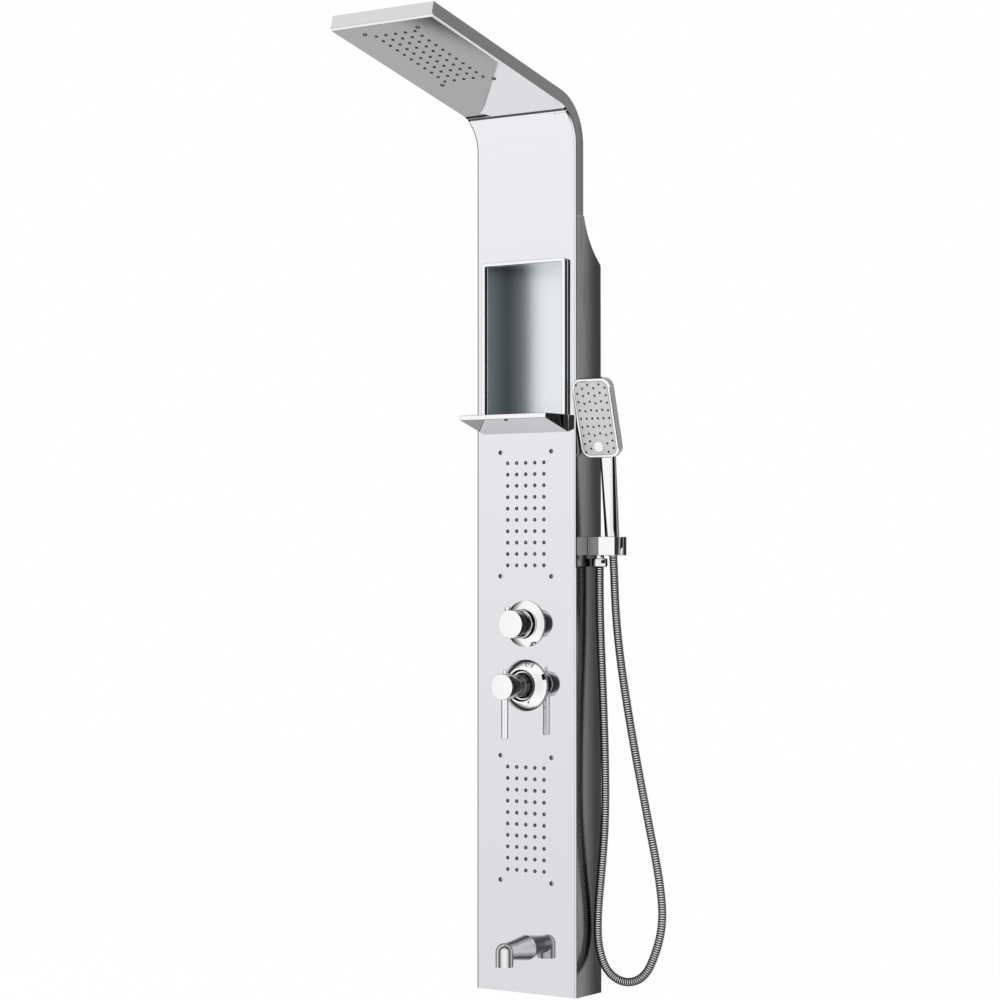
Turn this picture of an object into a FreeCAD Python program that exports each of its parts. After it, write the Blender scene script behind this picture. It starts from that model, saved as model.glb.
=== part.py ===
"""Shower panel column: a wall-hung folded steel column with a rain head, a niche, body jets, a diverter,
a mixer, a tub spout and a hand shower.

Millimetres and degrees. The wall is the plane y = 0, the front looks along -Y, +Z is up, and the origin
is the middle of the upper wall bracket. Pieces are drawn in the column's own frame, which has y = 0 on the
front face and z = 0 at the foot, and each finished piece is then moved to the wall's frame.
"""
import FreeCAD, Part
import math
import os
from types import SimpleNamespace

import Sketcher

SIZES = {
    # The column's sheet metal.
    "panel_width": 200.0, "panel_depth": 80.0, "sheet": 1.2, "hang_drop": 97.0,
    "return_width": 15.0, "seam_gap": 0.4, "fit_gap": 0.3, "thread_gap": 0.05,
    "neck_depth": 26.0, "flare_drop": 2.5, "flare_radius": 145.0, "seam_rise": 80.0, "bend_rise": 118.5,
    "bend_radius": 60.0, "head_tilt": 13.2, "head_length": 369.0,
    "slot_rise": 57.0, "slot_opening": 6.0, "foot_flange": 14.0,
    # The niche with its rim and shelf.
    "niche_side": 22.0, "niche_height": 255.0, "niche_depth": 60.0, "niche_rise": 164.7,
    "niche_flange": 9.0, "rim_width": 6.0, "rim_height": 9.0,
    "shelf_overhang": 8.0, "shelf_reach": 70.0, "shelf_lip": 8.0, "shelf_drop": 29.0,
    # The rain head's field of tips.
    "rain_columns": 5.0, "rain_rows": 11.0, "rain_pitch": 19.0, "rain_middle": 232.0,
    "rain_screw_side": 13.5, "rain_screw_end": 12.0, "rain_bore": 6.0, "rain_stand": 1.5,
    # The two fields of body jets.
    "jet_columns": 5.0, "jet_rows": 10.0, "jet_across": 18.3, "jet_down": 19.1, "jet_bore": 6.8,
    "jet_stand": 1.2, "upper_jets_rise": 183.8, "lower_jets_rise": 214.5,
    "jet_screw_side": 14.7, "jet_screw_end": 18.25,
    "mat_thickness": 2.0, "tip_hole": 2.0, "chamber_wall": 2.5, "chamber_depth": 16.0,
    "chamber_margin": 7.0, "spigot_radius": 8.0, "spigot_length": 12.0,
    "screw_head_radius": 4.0, "screw_head_height": 1.8, "screw_radius": 2.0, "screw_length": 12.0,
    # Water pipes inside the column.
    "pipe_radius": 5.0, "pipe_wall": 1.2, "pipe_bend": 25.0, "rear_gap": 6.0, "lower_plane": 55.0,
    "lane_plane": 33.0, "port_spacing": 28.0, "neck_lane": 40.0, "slot_lane": 60.0,
    # The diverter.
    "diverter_rise": 103.0, "diverter_body_radius": 23.0, "valve_front": 26.0, "valve_depth": 34.0,
    "diverter_plate_radius": 39.0, "diverter_plate_height": 7.0, "diverter_collar_radius": 24.5,
    "diverter_collar_height": 18.0, "diverter_knob_radius": 23.5, "diverter_knob_front": 47.0,
    "diverter_knob_length": 26.0, "pointer_radius": 4.5, "pointer_rise": 8.0, "pointer_turn": 22.0,
    "pointer_setback": 8.0, "spindle_radius": 5.0, "cartridge_radius": 14.0, "knob_socket": 17.0,
    "diverter_plate_crown": 60.0,
    # The mixer.
    "mixer_rise": 223.0, "mixer_body_radius": 26.0, "inlet_spacing": 150.0, "cross_radius": 14.0,
    "inlet_radius": 10.48, "inlet_length": 16.0, "inlet_bore": 7.5,
    "mixer_plate_radius": 43.5, "mixer_dome_radius": 29.0, "mixer_dome_height": 15.0,
    "mixer_recess_depth": 6.0, "shroud_radius": 22.0, "shroud_step_radius": 18.5, "shroud_tip_radius": 15.5,
    "shroud_tip": 37.0, "shroud_wall": 2.5, "mixer_dome_crown": 30.0, "mixer_pivot": 20.0,
    "pivot_pin_radius": 2.5, "mixer_swing": 20.0, "stem_radius": 4.5, "mixer_barrel_radius": 21.5,
    "mixer_barrel_back": 48.0, "mixer_barrel_front": 72.0,
    "lever_radius": 5.8, "lever_setback": 10.0, "lever_drop": 86.0, "lever_seat": 9.5,
    "index_radius": 2.5, "index_rise": 7.0, "index_seat": 13.0,
    "mixer_cartridge_radius": 20.0, "carrier_radius": 15.0, "carrier_depth": 18.0,
    "carrier_nose_radius": 12.5, "carrier_nose_reach": 4.0, "locknut_height": 6.0, "locknut_flat": 4.0,
    # The tub spout.
    "spout_height": 75.5, "spout_root_radius": 21.0, "spout_neck_radius": 11.5, "spout_reach": 63.0,
    "spout_mouth_radius": 15.0, "spout_mouth_drop": 24.0, "aerator_radius": 11.0, "aerator_height": 10.0,
    "nipple_radius": 10.0, "nipple_length": 34.0,
    # The hand shower's holder and hose.
    "holder_climb": 130.0, "holder_rise": 31.0, "holder_front": 36.0, "holder_thickness": 38.0,
    "holder_reach": 53.0, "holder_slot": 15.0, "socket_reach": 38.0, "socket_setback": 20.0,
    "tail_radius": 10.0, "tail_length": 20.0, "outlet_reach": 17.0, "outlet_setback": 11.0,
    "outlet_radius": 8.0, "hose_nut_radius": 13.5, "hose_nut_height": 14.5, "hose_nut_drop": 5.0,
    "hose_radius": 7.2, "hose_bore": 4.5, "hose_groove": 0.7, "hose_ribs": 200.0, "hose_fall": 707.7,
    # The hand shower.
    "handset_lean": 5.5, "cone_bottom_radius": 9.6, "cone_top_radius": 11.6, "handle_bottom_radius": 12.2,
    "handle_length": 132.0, "handle_top_width": 28.6, "handle_top_depth": 15.0,
    "handle_blend": 40.0, "handle_tuck": 14.0, "handle_tip_depth": 8.0,
    "face_lean": 10.4, "face_forward": 34.9, "face_up": 229.7, "face_width": 75.0, "face_length": 134.0,
    "spray_thickness": 19.0, "spray_corner": 17.0, "bezel": 5.0, "face_thickness": 3.0, "face_recess": 1.0,
    "tip_radius": 1.4, "tip_rise": 1.0, "spray_columns": 6.0, "spray_rows": 9.0, "spray_stagger": 6.0,
    "button_drop": 48.0, "button_radius": 9.0, "button_rise": 4.0, "button_flange": 1.5,
    "button_length": 11.0, "spring_wire": 0.8,
    # What holds the column on the wall.
    "bracket_width": 110.0, "bracket_rise": 44.0, "bracket_sheet": 2.5, "hook_reach": 11.0, "hook_rise": 14.0,
    "bracket_holes": 76.0, "bracket_hole_radius": 3.25, "bracket_drop": 960.0,
    "rail_rise": 30.0, "rail_tab": 15.0,
}

# The hose's corners: right, behind and above the foot of the cone nut on the way down, and of the
# outlet's nut on the way back up, as shares of how far the hose falls.
HOSE_DOWN = [
    (0.0023, 0.0048, -0.1123), (0.0119, 0.0020, -0.2014), (0.0318, -0.0006, -0.3186),
    (0.0615, -0.0025, -0.4628), (0.0968, -0.0038, -0.6154), (0.1293, -0.0049, -0.7524),
    (0.1392, -0.0054, -0.8457), (0.1208, -0.0058, -0.9192), (0.0887, -0.0061, -0.9813),
    (0.0353, -0.0065, -1.0000),
]
HOSE_UP = [
    (0.0137, 0.0059, -0.9488), (-0.0102, 0.0057, -0.8860), (-0.0092, 0.0052, -0.8068),
    (0.0014, 0.0047, -0.7150), (0.0127, 0.0040, -0.5949), (0.0131, 0.0031, -0.4677),
    (0.0088, 0.0023, -0.3264), (0.0021, 0.0013, -0.1780), (0.0, 0.0, -0.0791),
]
# The run that leaves the cone nut along the handle, as a share of the fall.
HOSE_LEAD = 0.0412
# Where a rib's two flanks begin and end, as shares of its pitch.
RIB_FLANKS = (0.15, 0.3, 0.7, 0.85)
# An arc takes this share of the shorter run beside it.
RUN_SHARE = 0.45
# A cutter is this many times as long as the sheet it goes through, so it stands out on both sides.
PIERCE = 3
# A rounded corner leaves this much of a straight line beside it.
CORNER_EASE = 0.1


class Size:
    """A length, angle or count, with the formula that names the sheet's cells behind it."""

    def __init__(self, value, formula):
        self.value = float(value)
        self.formula = formula

    def __float__(self):
        return self.value

    def __add__(self, other):
        return Size(self.value + float(other), f"({self.formula} + {formula(other)})")

    def __sub__(self, other):
        return Size(self.value - float(other), f"({self.formula} - {formula(other)})")

    def __rsub__(self, other):
        return Size(float(other) - self.value, f"({formula(other)} - {self.formula})")

    def __mul__(self, other):
        return Size(self.value * float(other), f"({self.formula} * {formula(other)})")

    def __truediv__(self, other):
        return Size(self.value / float(other), f"({self.formula} / {formula(other)})")

    def __neg__(self):
        return Size(-self.value, f"(0 - {self.formula})")

    __radd__ = __add__
    __rmul__ = __mul__


def formula(amount):
    """The text that an expression holds for a size or a plain number."""
    return amount.formula if isinstance(amount, Size) else repr(float(amount))


def sine(angle):
    return Size(math.sin(math.radians(float(angle))), f"sin({formula(angle)})")


def cosine(angle):
    return Size(math.cos(math.radians(float(angle))), f"cos({formula(angle)})")


doc = FreeCAD.newDocument("ShowerPanel")
sheet = doc.addObject("Spreadsheet::Sheet", "Sizes")
for row, (alias, number) in enumerate(SIZES.items(), start=1):
    sheet.set(f"A{row}", alias)
    sheet.set(f"B{row}", str(number))
    sheet.setAlias(f"B{row}", alias)
doc.recompute()
s = SimpleNamespace(**{alias: Size(getattr(sheet, alias), f"Sizes.{alias}") for alias in SIZES})

TURNS = {
    "z": FreeCAD.Rotation(),
    "-z": FreeCAD.Rotation(FreeCAD.Vector(1, 0, 0), 180),
    "x": FreeCAD.Rotation(FreeCAD.Vector(0, 1, 0), 90),
    "-x": FreeCAD.Rotation(FreeCAD.Vector(0, 1, 0), -90),
    "y": FreeCAD.Rotation(FreeCAD.Vector(1, 0, 0), -90),
    "-y": FreeCAD.Rotation(FreeCAD.Vector(1, 0, 0), 90),
    "bend": FreeCAD.Rotation(FreeCAD.Vector(1, 1, 1), 120),
}
SPOTS = {}
NODES = []


def vector(x, y, z):
    return FreeCAD.Vector(float(x), float(y), float(z))


def bind(item, path, amount):
    item.setExpression(path, formula(amount))


def put(item, x=0, y=0, z=0, along="z"):
    """Set an item's place in the column's frame, with its own Z turned to the named direction."""
    item.Placement = FreeCAD.Placement(vector(x, y, z), TURNS[along])
    for path, amount in zip("xyz", (x, y, z)):
        bind(item, f"Placement.Base.{path}", amount)
    SPOTS[item.Name] = (x, y, z)
    return item


def box(corner, lengths):
    item = doc.addObject("Part::Box", "Block")
    for path, amount in zip(("Length", "Width", "Height"), lengths):
        bind(item, path, amount)
    return put(item, *corner)


def slab(width, y, depth, z, height, x=0):
    """A box that is centred on x."""
    return box((x - width / 2, y, z), (width, depth, height))


def rod(radius, length, x=0, y=0, z=0, along="z", sweep=360):
    item = doc.addObject("Part::Cylinder", "Rod")
    bind(item, "Radius", radius)
    bind(item, "Height", length)
    bind(item, "Angle", sweep)
    return put(item, x, y, z, along)


def cone(start_radius, end_radius, length, x=0, y=0, z=0, along="z"):
    item = doc.addObject("Part::Cone", "Taper")
    bind(item, "Radius1", start_radius)
    bind(item, "Radius2", end_radius)
    bind(item, "Height", length)
    return put(item, x, y, z, along)


def ball(radius, x=0, y=0, z=0):
    item = doc.addObject("Part::Sphere", "Ball")
    bind(item, "Radius", radius)
    return put(item, x, y, z)


def fuse(*items):
    item = doc.addObject("Part::MultiFuse", "Joined")
    item.Shapes = list(items)
    item.Refine = True
    return item


def cut(base, *tools):
    for tool in tools:
        item = doc.addObject("Part::Cut", "Opened")
        item.Base = base
        item.Tool = tool
        item.Refine = True
        base = item
    return base


def group(*items):
    item = doc.addObject("Part::Compound", "Group")
    item.Links = list(items)
    return item


def made(shape, name):
    """An object with a shape that is built here from the sheet's sizes."""
    item = doc.addObject("Part::Feature", name)
    item.Shape = shape
    return item


def frame(x=0, y=0, z=0, lean=None):
    """A frame in the column's frame; it leans forward about X by an angle, or back if that is negative."""
    return SimpleNamespace(x=x, y=y, z=z, lean=lean)


def set_in(item, place):
    """Put a group of items into a leaning frame."""
    holder = group(item)
    holder.Placement = FreeCAD.Placement(
        vector(place.x, place.y, place.z), FreeCAD.Rotation(FreeCAD.Vector(1, 0, 0), float(place.lean)))
    for path, amount in zip("xyz", (place.x, place.y, place.z)):
        bind(holder, f"Placement.Base.{path}", amount)
    if float(place.lean) < 0:
        holder.Placement = FreeCAD.Placement(
            holder.Placement.Base, FreeCAD.Rotation(FreeCAD.Vector(-1, 0, 0), -float(place.lean)))
        bind(holder, "Placement.Rotation.Angle", -place.lean)
    else:
        bind(holder, "Placement.Rotation.Angle", place.lean)
    SPOTS[holder.Name] = (place.x, place.y, place.z)
    return holder


def node(label, item, place=None):
    """Name a finished piece and move it from the column's frame to the wall's frame."""
    if place:
        item = set_in(item, place)
    x, y, z = SPOTS.get(item.Name, (0, 0, 0))
    bind(item, "Placement.Base.x", x)
    bind(item, "Placement.Base.y", y - s.panel_depth)
    bind(item, "Placement.Base.z", z - hang_height)
    item.Label = label
    NODES.append(item)
    return item


def bow(start, end, radius):
    """The arc from start to end with this radius; its centre is on the left when the radius is positive."""
    middle = (start + end) / 2
    chord = end - start
    rise = math.sqrt(max(radius * radius - chord.Length ** 2 / 4, 0.0))
    side = FreeCAD.Vector(-chord.y, chord.x, 0).normalize() * math.copysign(1, radius)
    centre = middle + side * rise
    first, last = (start, end) if radius > 0 else (end, start)
    angles = [math.atan2(point.y - centre.y, point.x - centre.x) for point in (first, last)]
    circle = Part.Circle(centre, FreeCAD.Vector(0, 0, 1), abs(radius))
    return Part.ArcOfCircle(circle, *angles)


def outline_sketch(body, role, outline):
    """A closed sketch through corner points; a third value is the radius of the arc that arrives there."""
    sketch = body.newObject("Sketcher::SketchObject", "Outline")
    plane = next(item for item in body.Origin.OriginFeatures if item.Role == role)
    sketch.AttachmentSupport = (plane, [""])
    sketch.MapMode = "FlatFace"
    corners = [FreeCAD.Vector(float(corner[0]), float(corner[1]), 0) for corner in outline]
    ends = []
    for index, corner in enumerate(corners):
        following = (index + 1) % len(corners)
        radius = outline[following][2] if len(outline[following]) > 2 else None
        if radius is None:
            sketch.addGeometry(Part.LineSegment(corner, corners[following]), False)
            ends.append((1, 2))
            continue
        sketch.addGeometry(bow(corner, corners[following], float(radius)), False)
        ends.append((1, 2) if float(radius) > 0 else (2, 1))
        size_of = radius if float(radius) > 0 else -radius
        name = f"radius_{index}"
        sketch.addConstraint(Sketcher.Constraint("Radius", index, abs(float(radius))))
        sketch.renameConstraint(sketch.ConstraintCount - 1, name)
        bind(sketch, f"Constraints.{name}", size_of)
    for index, corner in enumerate(outline):
        following = (index + 1) % len(corners)
        sketch.addConstraint(
            Sketcher.Constraint("Coincident", index, ends[index][1], following, ends[following][0]))
        for kind, axis, amount in (("DistanceX", -2, corner[0]), ("DistanceY", -1, corner[1])):
            if float(amount) == 0:
                sketch.addConstraint(Sketcher.Constraint("PointOnObject", index, ends[index][0], axis))
                continue
            name = f"{kind}_{index}"
            sketch.addConstraint(Sketcher.Constraint(kind, -1, 1, index, ends[index][0], float(amount)))
            sketch.renameConstraint(sketch.ConstraintCount - 1, name)
            bind(sketch, f"Constraints.{name}", amount)
    return sketch


def turned(outline):
    """A body turned about its Z axis from an outline of (radius, height) corners."""
    body = doc.addObject("PartDesign::Body", "Turned")
    sketch = outline_sketch(body, "XZ_Plane", outline)
    turn = body.newObject("PartDesign::Revolution", "Turn")
    turn.Profile = sketch
    turn.ReferenceAxis = (sketch, ["V_Axis"])
    turn.Angle = 360
    return body


def plate(outline, thickness, role="YZ_Plane"):
    """A body padded from an outline on one of its own planes."""
    body = doc.addObject("PartDesign::Body", "Plate")
    pad = body.newObject("PartDesign::Pad", "Thickness")
    pad.Profile = outline_sketch(body, role, outline)
    bind(pad, "Length", thickness)
    return body


def grid(shape, columns, rows, across, up, centre=(0, 0)):
    """Copies of a shape in columns along X and rows along Z, about a centre in that plane."""
    copies = []
    for column in range(round(float(columns))):
        for row in range(round(float(rows))):
            copy = shape.copy()
            along_x = (column - (float(columns) - 1) / 2) * float(across)
            along_up = (row - (float(rows) - 1) / 2) * float(up)
            copy.translate(vector(along_x, 0, along_up) + vector(centre[0], 0, centre[1]))
            copies.append(copy)
    return Part.makeCompound(copies)


def tube_path(points, bend=None):
    """Straight runs joined by arcs, as wide as the runs, the bend or the corner's own radius allow."""
    spots = [vector(*point[:3]) for point in points]
    edges = []
    radii = []
    start = spots[0]
    for index, (before, corner, after) in enumerate(zip(spots, spots[1:], spots[2:]), start=1):
        limit = float(points[index][3]) if len(points[index]) > 3 else bend
        arriving = (corner - before).normalize()
        leaving = (after - corner).normalize()
        half_turn = arriving.getAngle(leaving) / 2
        reach = RUN_SHARE * min((corner - before).Length, (after - corner).Length)
        radius = reach / math.tan(half_turn)
        if limit is not None and limit < radius:
            radius = limit
            reach = radius * math.tan(half_turn)
        radii.append(radius)
        first = corner - arriving * reach
        last = corner + leaving * reach
        inward = (leaving - arriving).normalize()
        middle = corner + inward * (radius / math.cos(half_turn) - radius)
        edges.append(Part.LineSegment(start, first).toShape())
        edges.append(Part.Arc(first, middle, last).toShape())
        start = last
    edges.append(Part.LineSegment(start, spots[-1]).toShape())
    return Part.Wire(edges), radii


def tube(points, radius, bore, bend=None):
    """A pipe along a path of runs and arcs."""
    path, radii = tube_path(points, bend)
    start = vector(*points[0])
    direction = (vector(*points[1]) - start).normalize()

    def swept(circle_radius):
        ring = Part.Wire(Part.Circle(start, direction, circle_radius).toShape())
        return path.makePipeShell([ring], True, True)

    outer = swept(float(radius))
    if bore is None:
        return outer, path.Length, radii
    return outer.cut(swept(float(bore))), path.Length, radii


# ------------------------------------------------------------------ places up, across and behind the column
# Each height is measured from the piece below it.
lower_jets = s.spout_height + s.lower_jets_rise
mixer_height = lower_jets + s.mixer_rise
diverter_height = mixer_height + s.diverter_rise
upper_jets = diverter_height + s.upper_jets_rise
holder_height = diverter_height + s.holder_climb
niche_floor = upper_jets + s.niche_rise
flare_height = niche_floor + s.niche_height - s.flare_drop
seam_height = flare_height + s.seam_rise
bend_height = seam_height + s.bend_rise
hang_height = flare_height - s.hang_drop
niche_width = s.panel_width - 2 * s.niche_side
shelf_width = niche_width + 2 * s.shelf_overhang
# The screws stand this far apart, outside their field of tips.
jet_screw_across = (s.jet_columns - 1) * s.jet_across + 2 * s.jet_screw_side
jet_screw_down = (s.jet_rows - 1) * s.jet_down + 2 * s.jet_screw_end
rain_screw_across = (s.rain_columns - 1) * s.rain_pitch + 2 * s.rain_screw_side
rain_screw_along = (s.rain_rows - 1) * s.rain_pitch + 2 * s.rain_screw_end
# The pipes run up midway between the niche and the column's side, and down behind the mixer.
side_lane = (s.panel_width - s.niche_side) / 2
rear_plane = s.valve_front + s.valve_depth + s.pipe_radius + s.rear_gap
socket_depth_in = s.holder_front + s.socket_setback
outlet_depth_in = s.holder_front + s.outlet_setback

# ------------------------------------------------------------------ frames of the leaning parts
# The head's frame: its origin is where the underside leaves the bend, -Y runs to the head's front end.
head = frame(0, s.bend_radius * (sine(s.head_tilt) - 1), bend_height + s.bend_radius * cosine(s.head_tilt),
             -s.head_tilt)
bend_sweep = 90 - s.head_tilt
# The hand shower's frame: its origin is the foot of the cone nut, Z runs up the handle.
holder_foot = holder_height - s.holder_rise / 2
handset = frame(s.panel_width / 2 + s.socket_reach, socket_depth_in, holder_foot, s.handset_lean)
# The handle's foot stands on the cone nut, as far up the handle as clears the holder's top.
handle_foot = ((s.holder_rise + s.fit_gap + s.handle_bottom_radius * sine(s.handset_lean))
               / cosine(s.handset_lean))
# The spray face's frame: its origin is the middle of the face, which looks along -Y.
spray = frame(
    handset.x,
    handset.y - s.face_forward * cosine(s.handset_lean) - s.face_up * sine(s.handset_lean),
    handset.z - s.face_forward * sine(s.handset_lean) + s.face_up * cosine(s.handset_lean),
    s.handset_lean + s.face_lean)


# ------------------------------------------------------------------ sheet metal
def bend_ring(near, far, width, sweep):
    """The part of the bend between two depths behind the face, from the neck up by an angle."""
    spot = {"x": -width / 2, "y": -s.bend_radius, "z": bend_height, "along": "bend", "sweep": sweep}
    return cut(rod(s.bend_radius + far, width, **spot), rod(s.bend_radius + near, width, **spot))


def head_slab(near, far, width, length):
    """A slab of the head between two depths above its underside, as long as given from the bend."""
    item = slab(width, -length, length, near, far - near)
    return set_in(item, head)


def column_path(near, far, width, foot, length):
    """The neck, bend and head between two depths behind the face."""
    return fuse(slab(width, near, far - near, foot, bend_height - foot),
                bend_ring(near, far, width, bend_sweep),
                head_slab(near, far, width, length))


def jet_grid(radius, length, y, height):
    """One field of body jets as cylinders that run back from y."""
    peg = Part.makeCylinder(float(radius), float(length), vector(0, y, 0), FreeCAD.Vector(0, 1, 0))
    return made(grid(peg, s.jet_columns, s.jet_rows, s.jet_across, s.jet_down, (0, height)), "Jets")


def jet_corners(radius, length, y, height):
    """Cylinders at the four screws of a field of body jets."""
    return [rod(radius, length, side * jet_screw_across / 2, y, height + end * jet_screw_down / 2, "y")
            for side in (-1, 1) for end in (-1, 1)]


def side_sheet(x):
    top = seam_height - s.seam_gap
    outline = [(0, 0), (s.panel_depth, 0), (s.panel_depth, flare_height),
               (s.neck_depth, top, -s.flare_radius), (0, top)]
    return put(plate(outline, s.sheet), x)


def front_panel():
    half = s.panel_width / 2
    sheets = [slab(s.panel_width, 0, s.sheet, 0, bend_height),
              bend_ring(0, s.sheet, s.panel_width, s.slot_rise),
              side_sheet(-half), side_sheet(half - s.sheet)]
    for x in (-half, half - s.return_width):
        sheets.append(box((x, s.panel_depth - s.sheet, 0), (s.return_width, s.sheet, flare_height)))
    through = {"length": s.sheet * PIERCE, "y": -s.sheet, "along": "y"}
    holes = [slab(niche_width, -s.sheet, s.sheet * PIERCE, niche_floor, s.niche_height),
             rod(s.cartridge_radius + s.fit_gap, z=diverter_height, **through),
             rod(s.mixer_cartridge_radius + s.fit_gap, z=mixer_height, **through),
             rod(s.nipple_radius + s.fit_gap, z=s.spout_height, **through),
             rod(s.tail_radius + s.fit_gap, s.sheet * PIERCE, half - 2 * s.sheet, socket_depth_in,
                 holder_height, "x")]
    for height in (upper_jets, lower_jets):
        holes.append(jet_grid(s.jet_bore / 2, s.sheet * PIERCE, -s.sheet, height))
        holes.extend(jet_corners(s.screw_radius + s.fit_gap, s.sheet * PIERCE, -s.sheet, height))
    node("front_panel", cut(fuse(*sheets), *holes))


def neck_cover():
    shell = column_path(s.sheet, s.neck_depth, s.panel_width, seam_height, s.head_length)
    hollow = column_path(0, s.neck_depth - s.sheet, s.panel_width - 2 * s.sheet,
                         seam_height - s.neck_depth, s.head_length - s.sheet)
    node("neck_cover", cut(shell, hollow))


def bottom_cap():
    width = s.panel_width - 2 * s.sheet
    depth = s.panel_depth - 2 * s.sheet
    tray = fuse(slab(width, s.sheet, depth, 0, s.sheet), slab(width, s.sheet, s.sheet, 0, s.foot_flange))
    node("bottom_cap", tray)


def head_plate():
    curl = cut(bend_ring(0, s.sheet, s.panel_width, bend_sweep),
               bend_ring(-s.sheet, 2 * s.sheet, s.panel_width, s.slot_rise + s.slot_opening))
    sheets = fuse(curl, head_slab(0, s.sheet, s.panel_width, s.head_length))
    holes = [set_in(rain_pegs(s.rain_bore / 2, s.sheet * PIERCE, -s.sheet), head)]
    screw_holes = rain_corners(s.screw_radius + s.fit_gap, s.sheet * PIERCE, -s.sheet)
    holes.extend(set_in(peg, head) for peg in screw_holes)
    node("head_plate", cut(sheets, *holes))


# ------------------------------------------------------------------ rain head
def rain_pegs(radius, length, z):
    """The rain head's tips as upright cylinders in the head's frame."""
    peg = Part.makeCylinder(float(radius), float(length), vector(0, z, 0), FreeCAD.Vector(0, 1, 0))
    field = grid(peg, s.rain_columns, s.rain_rows, s.rain_pitch, s.rain_pitch, (0, s.rain_middle))
    field.rotate(FreeCAD.Vector(), FreeCAD.Vector(1, 0, 0), 90)
    return made(field, "Rain")


def rain_corners(radius, length, z):
    return [rod(radius, length, side * rain_screw_across / 2, end * rain_screw_along / 2 - s.rain_middle, z)
            for side in (-1, 1) for end in (-1, 1)]


def rain_size():
    """Width and length of the chamber above the rain head's tips."""
    return rain_screw_across + 2 * s.chamber_margin, rain_screw_along + 2 * s.chamber_margin


def head_nozzle_mat():
    width, length = rain_size()
    gap = s.thread_gap
    mat = slab(width, -s.rain_middle - length / 2, length, s.sheet, s.mat_thickness)
    tips = rain_pegs(s.rain_bore / 2 - gap, s.rain_stand + s.sheet + s.mat_thickness / 2, -s.rain_stand)
    bores = rain_pegs(s.tip_hole / 2, s.rain_stand + s.sheet + s.mat_thickness * 2, -s.rain_stand * 2)
    corners = rain_corners(s.screw_radius + gap, s.mat_thickness * 3, 0)
    node("head_nozzle_mat", cut(fuse(mat, tips), bores, *corners), head)


def head_water_chamber():
    width, length = rain_size()
    floor = s.sheet + s.mat_thickness
    wall = s.chamber_wall
    shell = slab(width, -s.rain_middle - length / 2, length, floor, s.chamber_depth)
    inside = slab(s.rain_pitch * s.rain_columns, -s.rain_middle - s.rain_pitch * s.rain_rows / 2,
                  s.rain_pitch * s.rain_rows, floor - wall, s.chamber_depth)
    inlet_y = -s.rain_middle + length / 2 - 2 * wall
    seat = rod(s.pipe_radius + s.thread_gap, 4 * wall, -s.neck_lane, inlet_y, head_inlet_depth(), "y")
    bore = rod(s.pipe_radius - s.pipe_wall, s.rain_pitch * 2, -s.neck_lane, inlet_y - s.rain_pitch,
               head_inlet_depth(), "y")
    corners = rain_corners(s.screw_radius + s.thread_gap, s.screw_length + s.fit_gap, 0)
    node("head_water_chamber", cut(shell, inside, seat, bore, *corners), head)


def screw(x, y, z, along):
    """A screw with a low round head that stands on a face and a shank that goes in along the direction."""
    head_part = rod(s.screw_head_radius, s.screw_head_height, x, y, z, "-z" if along == "z" else "-y")
    shank = rod(s.screw_radius, s.screw_length, x, y, z, along)
    return fuse(head_part, shank)


def head_screws():
    screws = [screw(side * rain_screw_across / 2, end * rain_screw_along / 2 - s.rain_middle, 0, "z")
              for side in (-1, 1) for end in (-1, 1)]
    node("head_screws", group(*screws), head)


def waterfall_duct():
    """A flat duct with its mouth at the slot, shaped by the bend's arcs, with a hole for its pipe."""
    start = s.slot_rise - s.slot_opening
    finish = s.slot_rise + 2 * s.slot_opening
    wall = s.chamber_wall / 2
    width = s.panel_width - 2 * s.sheet - 4 * s.chamber_wall
    deep = duct_depth()
    outer = cut(bend_ring(s.sheet, deep, width, finish), bend_ring(0, s.neck_depth, width * 2, start))
    inner = cut(bend_ring(0, deep - wall, width - 2 * wall, finish - s.slot_opening),
                bend_ring(-s.sheet, s.neck_depth, width * 2, s.slot_rise))
    node("waterfall_duct", cut(outer, inner, port(waterfall_route())))


# ------------------------------------------------------------------ body jets
def jet_field(name, height):
    """One field of body jets: the mat with its tips, the chamber behind it and the four screws."""
    width = jet_screw_across + 2 * s.chamber_margin
    rise = jet_screw_down + 2 * s.chamber_margin
    gap = s.thread_gap
    mat = slab(width, s.sheet, s.mat_thickness, height - rise / 2, rise)
    tips = jet_grid(s.jet_bore / 2 - gap, s.jet_stand + s.sheet + s.mat_thickness / 2, -s.jet_stand, height)
    bores = jet_grid(s.tip_hole / 2, s.jet_stand + s.sheet + s.mat_thickness * 2, -s.jet_stand * 2, height)
    corners = jet_corners(s.screw_radius + gap, s.mat_thickness * 3, 0, height)
    node(f"{name}_jet_mat", cut(fuse(mat, tips), bores, *corners))

    floor = s.sheet + s.mat_thickness
    shell = slab(width, floor, s.chamber_depth, height - rise / 2, rise)
    inside = slab(s.jet_across * s.jet_columns, floor - s.chamber_wall, s.chamber_depth,
                  height - s.jet_down * s.jet_rows / 2, s.jet_down * s.jet_rows)
    spigot = rod(s.spigot_radius, s.spigot_length, 0, floor + s.chamber_depth, height, "y")
    bore = rod(s.pipe_radius + gap, s.spigot_length * 2, 0, floor + s.chamber_depth - s.spigot_length / 2,
               height, "y")
    corners = jet_corners(s.screw_radius + gap, s.screw_length + s.fit_gap, 0, height)
    node(f"{name}_jet_chamber", cut(fuse(shell, spigot), inside, bore, *corners))

    screws = [screw(side * jet_screw_across / 2, 0, height + end * jet_screw_down / 2, "y")
              for side in (-1, 1) for end in (-1, 1)]
    node(f"{name}_jet_screws", group(*screws))


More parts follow.
